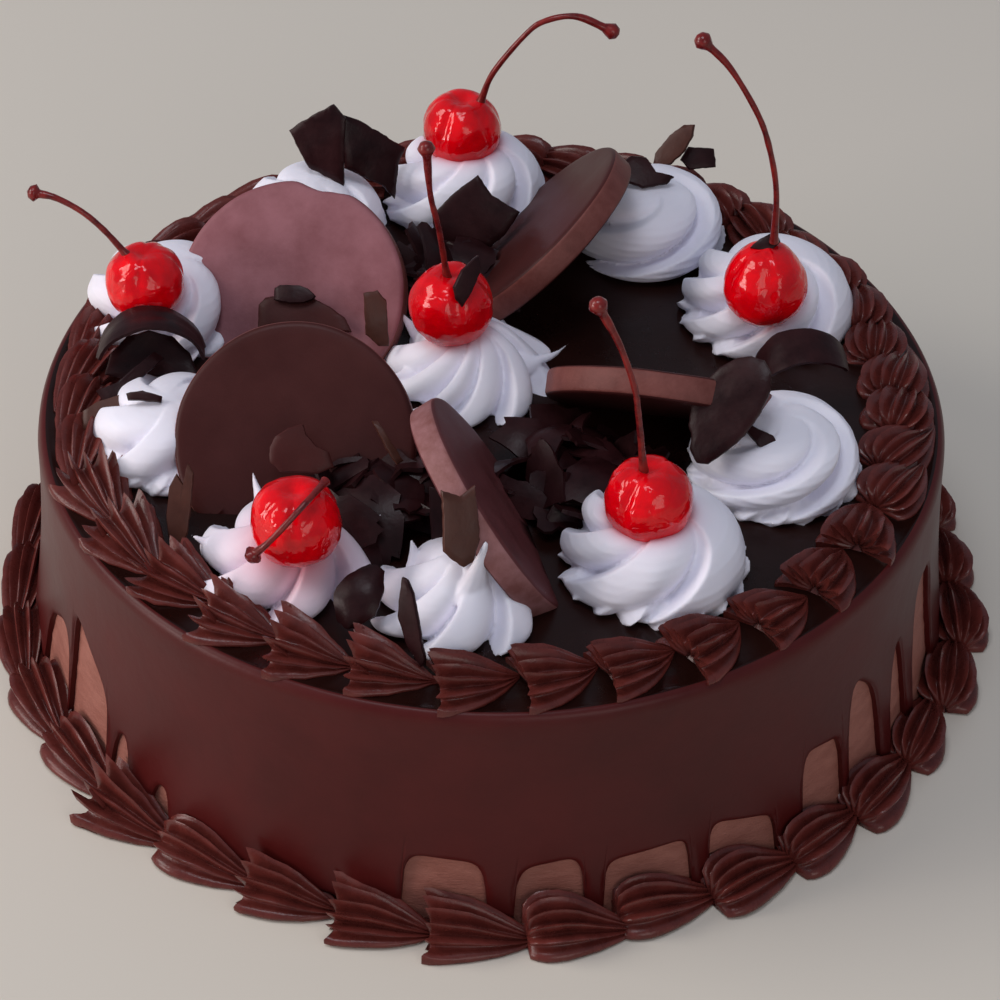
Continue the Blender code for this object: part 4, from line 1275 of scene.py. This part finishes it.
@dataclass(frozen=True)
class Shavings:
    """A loose heap of small broken leaves, scattered by Geometry Nodes: thicker in its middle."""

    node: str
    x: float
    y: float
    spread_x: float
    spread_y: float
    count: int
    seed: int
    height: float = 6.5

    def leaves(self) -> bpy.types.Collection:
        """The hidden small leaves that the heap is made of."""
        draw = random.Random(self.seed)
        leaves = []
        for number in range(LEAF_VARIANTS):
            leaf = Leaf(
                draw.uniform(14.0, 24.0),
                draw.uniform(8.0, 14.0),
                draw.uniform(-70.0, 50.0),
                (draw.uniform(0.4, 0.9), 1.0, draw.uniform(0.7, 1.0), draw.uniform(0.2, 0.7)),
                draw.uniform(0.0, 0.12),
                0.25,
                1.1,
            )
            skin = leaf.skin(self.seed + number * 1.3, 8, 4)
            leaves.append(mesh_object(f"{self.node}_{number}", skin, [Look.SHARD], 38.0))
        return hidden_pieces(self.node + "_leaves", leaves)

    def build(self) -> bpy.types.Object:
        """Sets the leaves out over the heap, most of them near its middle."""
        draw = random.Random(self.seed)
        seats = Seats()
        for _ in range(self.count):
            a, r = draw.uniform(0, 2 * math.pi), math.sqrt(draw.random())
            rise = self.height * (1.0 - 0.7 * r * r) * draw.uniform(0.45, 1.1)
            x, y = self.x + self.spread_x * r * math.cos(a), self.y + self.spread_y * r * math.sin(a)
            turn = (draw.uniform(-0.9, 0.9), draw.uniform(-0.9, 0.5), draw.uniform(0, 2 * math.pi))
            size = draw.uniform(0.8, 1.2)
            seats.add((x, y, TOP + rise), turn, (size, size, size), draw.randrange(LEAF_VARIANTS))
        obj = seats.build(self.node + "_heap")
        run_tree(obj, set_out_tree(self.node + "_tree", Look.SHARD), {"Pieces": self.leaves()})
        return dress(obj, "dark_chocolate", self.node)


CAKE_SIDE = CakeSide()

BORDERS = (
    ShellBorder(
        "piped_top_border", "top_border", ((-166.0, -16.0, 14), (-16.0, 194.0, 26)), 97.2, 20.5, 8.9, 8.2, TOP, 7, 7,
        (8.0, 6.0, -26.0), (0.86, 0.90, 1.08), 1.6,
    ),
    ShellBorder(
        "piped_base_border", "base_border", ((-177.0, 183.0, 33),), 115.0, 25.0, 8.4, 10.6, 1.15, 7, 31,
        (0.0, 0.0, 0.0), (0.96, 0.96, 1.10),
    ),
)

# Each rosette's place, width, height, piping, folds, twist and groove
ROSETTES = (
    Rosette("rosette_01", -80.0, 31.0, 40.0, 18.0, Piping.NEST, (-58, 70, 125, 190, 246), 92.0, 0.34, skirt=0.16),
    Rosette(
        "rosette_02", -75.0, -18.0, 38.0, 15.0, Piping.NEST, (-100, -40, 20, 85, 140, 205), 60.0, 0.34, skirt=0.14,
    ),
    Rosette(
        "rosette_03", -45.5, -59.5, 41.0, 16.0, Piping.DROP, (-104, -50, 10, 76, 140, 196), 62.0, 0.34, 0.20, soak=7.0,
        peaks=(Peak((-6, 12, 6), (-9, 19, 12)), Peak((14, 6, 5), (21, 8, 9)), Peak((-15, 2, 4), (-22, 3, 6))),
    ),
    Rosette(
        "rosette_04", -7.0, -71.5, 38.0, 16.0, Piping.DROP, (-120, -62, 0, 70, 140, 196), 58.0, 0.36, 0.14,
        peaks=(
            Peak((2.6, -6.0, 8.0), (6.3, -5.4, 23.8), 5.4), Peak((-9, 5, 7), (-10.4, 7, 13), 3.4),
            Peak((13, -4, 3), (20, -2, 6), 3.0),
        ),
    ),
    Rosette("rosette_05", 37.0, -57.5, 42.5, 18.5, Piping.NEST, (-104, 84, 132, 182), 96.0, 0.36, skirt=0.20),
    Rosette("rosette_06", 66.0, -23.0, 41.0, 17.0, Piping.NEST, (-120, -25, 70, 165), 215.0, 0.40, skirt=0.14),
    Rosette("rosette_07", 67.0, 37.0, 43.0, 18.5, Piping.NEST, (-80, 88, 134, 178, 226), 92.0, 0.36, skirt=0.16),
    Rosette("rosette_08", 38.0, 67.0, 41.0, 17.5, Piping.NEST, (-150, -30, 90), 235.0, 0.40),
    Rosette("rosette_09", -8.0, 81.0, 41.0, 19.0, Piping.NEST, (-70, 78, 132, 184, 236), 92.0, 0.34, skirt=0.16),
    Rosette("rosette_10", -46.0, 67.0, 38.0, 17.0, Piping.NEST, (-90, 0, 80, 160, 220), 110.0, 0.32),
    Rosette(
        "rosette_11", -6.0, 10.5, 41.0, 16.0, Piping.DROP, (-108, -68, -24, 20, 60, 104, 150, 192, 226), 55.0, 0.32,
        0.14,
        peaks=(
            Peak((13.0, -1.0, 4.0), (20.0, 0.5, 7.0), 3.4), Peak((18.0, 0.0, 5.5), (24.0, 0.5, 10.0), 1.3),
            Peak((-13, -5, 4), (-20, -9, 6), 3.0), Peak((-12, 8, 6), (-17, 10, 12), 2.4),
        ),
    ),
)

CHERRIES = (
    Cherry(
        "01", -83.6, 18.5, 20.5, 0.95,
        ((-4.0, 0.0, 7.6), (-9.0, 0.5, 14.3), (-14.0, 1.0, 19.2), (-20.0, 2.0, 22.3), (-25.0, 3.0, 22.9)), seed=1.3,
    ),
    Cherry(
        "03", -42.8, -67.4, 20.0, 1.03, ((6.6, 1.6, 10.4), (2.6, -6.6, 10.9), (-4.4, -12.0, 5.2), (-8.6, -11.6, 0.2)),
        seed=2.9,
    ),
    Cherry(
        "05", 35.1, -58.2, 20.5, 1.0,
        ((-1.4, 0.0, 8.2), (-3.2, 0.0, 24.0), (-4.4, 0.5, 31.5), (-8.0, 1.2, 42.4), (-13.0, 2.0, 52.5)), seed=4.1,
    ),
    Cherry(
        "07", 64.9, 21.8, 20.5, 1.02,
        (
            (1.2, 0.0, 12.6), (0.8, 0.5, 27.0), (-1.6, 1.0, 39.0), (-5.0, 1.5, 48.3), (-12.0, 2.0, 60.3),
            (-18.6, 2.5, 67.2),
        ),
        3.0, seed=5.7,
    ),
    Cherry(
        "09", -9.0, 84.0, 21.0, 1.0,
        (
            (4.6, 0.0, 8.4), (7.6, 0.0, 17.0), (15.0, 0.5, 27.6), (20.0, 1.0, 31.8), (28.0, 1.6, 33.0),
            (37.0, 2.0, 28.6),
        ),
        seed=6.3,
    ),
    Cherry(
        "11", -10.3, 11.4, 20.7, 1.01, ((-1.0, 0.0, 8.0), (-3.0, 0.3, 21.8), (-5.0, 0.8, 31.0), (-6.0, 1.5, 43.6)),
        seed=7.9,
    ),
)

DISCS = (
    Disc(
        "disc_01", -49.4, 25.0, 12.6, (-0.16, -0.66, 0.73), Look.MILK_DISC, 1.0,
        ((1.54, 1.0), (1.66, 1.5), (1.80, 0.9)),
    ),
    Disc("disc_02", -45.2, -31.0, 12.3, (-0.03, -0.73, 0.68), Look.DARK_DISC, 2.0),
    Disc("disc_03", 9.0, 49.5, 15.5, (-0.71, 0.22, 0.67), Look.DARK_DISC, 3.0),
    Disc("disc_04", 39.8, -5.8, 11.6, (0.11, 0.70, 0.705), Look.DARK_DISC, 4.0, radius=27.0),
    Disc("disc_05", 2.4, -50.5, 12.4, (0.826, 0.221, 0.518), Look.DULL_DISC, 5.0, rim=Look.PALE_RIM),
)

SHARDS = (
    Plate(
        "shard_01", (-44.7, 72.4, 24.5), (-0.25, -0.90, 0.35),
        ((-3.1, -5.1), (-1.6, -7.1), (7.7, -10.4), (6.5, 7.0), (3.0, 10.0), (-4.8, 4.2), (-7.7, 1.4)),
    ),
    Plate(
        "shard_02", (-30.9, 72.6, 19.9), (0.42, -0.80, 0.42),
        ((-8.3, -1.0), (0.6, -7.8), (3.1, -11.9), (5.7, -3.4), (8.4, 0.1), (-1.9, 9.7), (-7.5, 13.3)),
    ),
    Plate(
        "shard_03", (-5.4, 56.7, 13.0), (-0.10, -0.86, 0.50),
        ((-5.0, 6.3), (-10.6, -0.1), (-7.8, -10.7), (-0.1, -11.5), (8.0, -3.5), (11.3, 2.5), (4.0, 6.1), (0.1, 10.8)),
    ),
    Plate(
        "shard_04", (-6.5, 6.9, 31.4), (0.45, -0.74, 0.50),
        (
            (-4.2, -3.5), (-3.0, -5.8), (-0.1, -3.0), (1.9, -0.7), (4.0, 1.9), (4.2, 4.7), (2.5, 4.3), (-1.2, 2.7),
            (-4.2, -0.5),
        ),
    ),
    Plate(
        "shard_05", (45.6, 87.0, 15.1), (-0.40, -0.70, 0.60),
        ((0.4, -5.2), (2.9, -0.9), (3.8, 3.6), (3.1, 6.4), (0.5, 5.5), (-2.2, 1.8), (-4.5, -3.8), (-4.0, -7.4)),
        Look.SHARD_MILK,
    ),
    Plate(
        "shard_06", (37.0, 68.5, 19.2), (0.00, -0.45, 0.89),
        ((-5.2, -2.5), (-0.7, -4.4), (5.5, -2.9), (7.3, -0.9), (2.8, -0.1), (0.3, 4.1), (-3.5, 4.5), (-6.5, 2.2)),
        bow=0.8,
    ),
    Plate(
        "shard_07", (51.2, 87.8, 10.5), (0.10, -0.70, 0.70),
        ((-4.5, -0.1), (-2.4, -2.8), (4.6, -2.5), (4.5, 2.2), (-2.2, 3.1)),
    ),
    Plate(
        "shard_08", (64.4, 23.3, 31.4), (0.00, -0.60, 0.80),
        ((-1.9, -1.8), (1.5, -1.7), (3.4, 0.5), (2.4, 3.2), (-1.6, 0.9), (-3.8, -1.1)),
    ),
    Plate(
        "shard_09", (53.4, -29.0, 23.2), (-0.35, -0.62, 0.70),
        (
            (6.9, 11.3), (4.3, 13.3), (1.2, 13.2), (-1.7, 11.7), (-4.9, 8.2), (-7.3, 3.2), (-8.0, -2.0), (-6.9, -6.5),
            (-5.2, -8.9), (-4.6, -11.6), (-1.8, -14.0), (0.8, -13.4), (3.6, -9.6), (6.6, -4.4), (8.3, 2.0),
            (8.4, 7.4),
        ),
        bow=0.6,
    ),
    Shard("shard_10", 73.0, 1.0, 12.0, Leaf(28.0, 11.0, -150.0, (0.7, 1.0, 0.9, 0.6), 0.0), 5.0, 4.0, 14.0),
    Plate(
        "shard_11", (61.9, -30.0, 14.5), (0.00, -0.50, 0.86),
        ((-2.1, 0.3), (-0.3, -2.1), (1.3, -3.5), (3.9, -0.8), (2.7, 1.1), (-5.5, 5.1)),
    ),
    Shard("shard_12", -81.0, 2.0, 12.0, Leaf(33.0, 11.0, -150.0, (0.7, 1.0, 0.9, 0.6), 0.0), 5.0, -6.0, -8.0),
    # A dark half-disc that fills the shadowed hollow under the curl's arch: painted shadow, not a piece of chocolate
    Plate(
        "shard_12", (-81.0, 2.0, 10.5), (0.00, -0.72, 0.69),
        (
            (-11.0, -4.6), (-9.8, 0.6), (-6.2, 4.6), (-1.0, 6.3), (4.6, 5.0), (9.0, 1.0), (11.2, -4.6), (6.0, -5.6),
            (0.0, -4.4), (-6.0, -5.4),
        ),
        bow=-1.2, more="_inside",
    ),
    Plate(
        "shard_13", (-89.8, -15.2, 7.5), (-0.10, -0.55, 0.83),
        ((-5.1, -5.3), (-1.4, -5.5), (9.0, 4.1), (6.2, 6.1), (-2.8, 1.7), (-5.9, -1.0)), Look.SHARD_MILK,
    ),
    Plate(
        "shard_13", (-86.4, -7.8, 10.6), (0.20, -0.50, 0.84),
        ((-3.5, -0.8), (-7.4, -0.9), (-6.3, -3.8), (-1.9, -3.8), (10.5, 3.6), (8.6, 5.6)), more="_bar",
    ),
    Plate(
        "shard_14", (-80.7, -19.5, 15.5), (0.00, -0.60, 0.80),
        ((-3.7, -0.9), (4.0, -1.3), (4.2, 0.2), (-0.3, 1.3), (-4.2, 0.7)),
    ),
    Plate(
        "shard_15", (-46.8, 19.7, 11.4), (-0.16, -0.66, 0.73),
        ((-9.2, -6.3), (-10.2, -0.3), (-8.9, 1.7), (-6.7, 2.3), (3.1, 3.4), (7.1, 2.1), (11.3, 0.1), (13.6, -3.0)),
        Look.DARK_DISC, bow=0.5,
    ),
    Plate(
        "shard_15", (-47.8, 21.1, 15.2), (-0.16, -0.66, 0.73),
        (
            (-5.0, -2.2), (-5.4, 0.7), (-4.3, 1.6), (0.6, 2.3), (2.9, 1.8), (5.0, 0.4), (4.6, -0.5), (2.6, -1.7),
            (-1.0, -2.5),
        ),
        bow=0.5, more="_upper",
    ),
    Plate(
        "shard_16", (-28.1, 13.5, 14.4), (0.15, -0.85, 0.50),
        ((-3.0, -3.6), (-0.1, -6.7), (2.5, -7.0), (2.6, 4.2), (0.7, 6.7), (-2.7, 6.3)), Look.SHARD_MILK,
    ),
    Plate(
        "shard_17", (-43.8, -37.4, 15.6), (0.00, -0.75, 0.66),
        (
            (-4.3, -5.2), (4.4, -5.5), (8.0, -3.9), (6.8, -0.5), (4.3, 0.6), (1.5, 3.5), (0.7, 5.8), (-2.7, 4.8),
            (-5.4, 2.9), (-6.7, 0.4), (-6.6, -3.0),
        ),
        Look.DARK_DISC, bow=0.3,
    ),
    Plate(
        "shard_18", (-23.8, -37.6, 18.4), (0.20, -0.70, 0.68),
        ((-0.7, -1.4), (1.4, -5.5), (3.0, -4.8), (0.2, 1.2), (-1.4, 5.1), (-2.6, 5.3)), Look.SHARD_MILK,
    ),
    Plate(
        "shard_19", (-10.5, -58.9, 9.8), (-0.20, -0.90, 0.40),
        ((-1.4, -6.8), (1.5, -7.5), (3.0, -6.3), (1.2, 10.3), (-4.3, 10.3)),
    ),
    Plate(
        "shard_20", (-6.0, -60.6, 8.6), (0.35, -0.85, 0.40),
        ((-4.9, -4.3), (-2.9, -5.8), (-0.7, -9.0), (1.1, -6.3), (3.0, -2.4), (3.4, 7.0), (0.2, 8.0), (-2.9, 7.2)),
        Look.SHARD_MILK,
    ),
    Plate(
        "shard_20", (-6.6, -76.0, 26.4), (0.30, -0.80, 0.52),
        ((-4.6, -4.2), (-2.8, -6.6), (-0.7, -8.6), (1.6, -7.9), (3.9, -3.4), (5.0, 8.6), (1.2, 6.9), (-2.7, 9.2)),
        Look.SHARD_MILK, bow=0.5, more="_leaning",
    ),
    Shard("shard_21", -28.0, -79.0, 8.5, Leaf(15.0, 10.5, -64.0, (0.45, 1.0, 0.9, 0.35), 0.15), 55.0, 35.0, 12.0),
    Plate(
        "shard_22", (-16.3, -89.6, 11.7), (-0.50, -0.80, 0.35),
        ((-3.4, -0.1), (0.4, -6.1), (4.4, -9.8), (5.2, -7.7), (2.0, 0.5), (-1.0, 6.3), (-3.0, 8.4), (-4.6, 8.5)),
    ),
    Plate(
        "shard_23", (-70.3, -47.1, 7.0), (-0.10, -0.80, 0.60),
        (
            (0.3, 4.5), (-1.5, 6.8), (-2.9, 3.5), (-2.9, -3.4), (-1.6, -10.6), (0.8, -11.7), (2.2, -6.6), (2.5, 1.0),
            (2.4, 7.2), (0.8, 9.3),
        ),
        Look.SHARD_MILK,
    ),
)

HEAPS = (
    Shavings("shavings_01", -26.5, -41.0, 16.0, 16.0, 30, 21, 9.0),
    Shavings("shavings_02", 18.0, -32.0, 15.0, 15.0, 30, 5, 9.0),
    Shavings("shavings_03", -11.0, 43.0, 12.0, 10.0, 26, 12, 8.0),
)


@dataclass
class Studio:
    """The plain floor, the soft lights and the camera, solved for the photograph's frame."""

    eye: Point = (0.0, -649.2, 588.5)
    yaw: float = 0.2044
    down: float = 40.665
    roll: float = 1.247
    lens: float = 126.0
    # Each lamp's name, place in metres, width, power in watts and colour
    lamps: tuple[tuple[str, Point, float, float, str], ...] = (
        ("window_left", (-1.15, 0.0, 0.85), 0.6, 7.0, "fff8f2"),
        ("soft_top", (-0.2, -0.25, 1.5), 0.5, 5.0, "f4f6ff"),
        ("low_left", (-1.70, -0.60, 0.42), 0.6, 11.0, "ffeeea"),
        ("fill_front", (0.5, -1.3, 0.7), 0.7, 3.0, "fff6ee"),
    )

    def floor(self) -> None:
        """Lays the pale floor."""
        mesh = bpy.data.meshes.new("floor")
        mesh.from_pydata([(-4, -4, 0), (4, -4, 0), (4, 4, 0), (-4, 4, 0)], [], [(0, 1, 2, 3)])
        obj = bpy.data.objects.new("floor", mesh)
        bpy.context.scene.collection.objects.link(obj)
        made = bpy.data.materials.new("pale_floor")
        made.use_nodes = True
        shader = made.node_tree.nodes["Principled BSDF"]
        shader.inputs["Base Color"].default_value = linear("d9d3c6")
        shader.inputs["Roughness"].default_value = 0.7
        mesh.materials.append(made)

    def light(self, name: str, place: Point, size: float, power: float, colour: str) -> None:
        """Hangs one soft square light that looks at the cake."""
        lamp = bpy.data.lights.new(name, "AREA")
        lamp.size = size
        lamp.energy = power
        lamp.color = linear(colour)[:3]
        obj = bpy.data.objects.new(name, lamp)
        obj.location = place
        obj.rotation_euler = (Vector((0, 0, 0.05)) - Vector(place)).to_track_quat("-Z", "Y").to_euler()
        bpy.context.scene.collection.objects.link(obj)

    def camera(self) -> None:
        """Sets the camera where the photograph was taken from."""
        yaw, down, roll = map(math.radians, (self.yaw, self.down, self.roll))
        ahead = Vector((math.sin(yaw) * math.cos(down), math.cos(yaw) * math.cos(down), -math.sin(down)))
        right = Vector((math.cos(yaw), -math.sin(yaw), 0.0))
        up = right.cross(ahead)
        across = math.cos(roll) * right + math.sin(roll) * up
        upward = -math.sin(roll) * right + math.cos(roll) * up
        data = bpy.data.cameras.new("camera")
        data.lens = self.lens
        data.sensor_width = 36.0
        data.clip_start, data.clip_end = 0.05, 20.0
        obj = bpy.data.objects.new("camera", data)
        turn = Matrix((across, upward, -ahead)).transposed().to_4x4()
        obj.matrix_world = Matrix.Translation(Vector(self.eye) * MM) @ turn
        bpy.context.scene.collection.objects.link(obj)
        bpy.context.scene.camera = obj

    def build(self) -> None:
        """Makes the whole setting."""
        self.floor()
        for lamp in self.lamps:
            self.light(*lamp)
        world = bpy.data.worlds.new("studio")
        bpy.context.scene.world = world
        world.use_nodes = True
        world.node_tree.nodes["Background"].inputs["Color"].default_value = linear("d6dcee")
        world.node_tree.nodes["Background"].inputs["Strength"].default_value = 0.34
        bpy.context.scene.view_settings.view_transform = "Standard"
        self.camera()


def main() -> None:
    """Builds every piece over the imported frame, in order, and reports each."""
    logging.basicConfig(level=logging.INFO, format="%(name)s %(message)s")
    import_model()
    Studio().build()
    CAKE_SIDE.body()
    CAKE_SIDE.coat()
    for border in BORDERS:
        border.build()
    for disc in DISCS:
        disc.build()
    for rosette in ROSETTES:
        rosette.build()
    for cherry in CHERRIES:
        cherry.build_fruit()
        cherry.build_stalk()
    for shard in SHARDS:
        shard.build()
    for heap in HEAPS:
        heap.build()


if __name__ == "__main__":
    main()
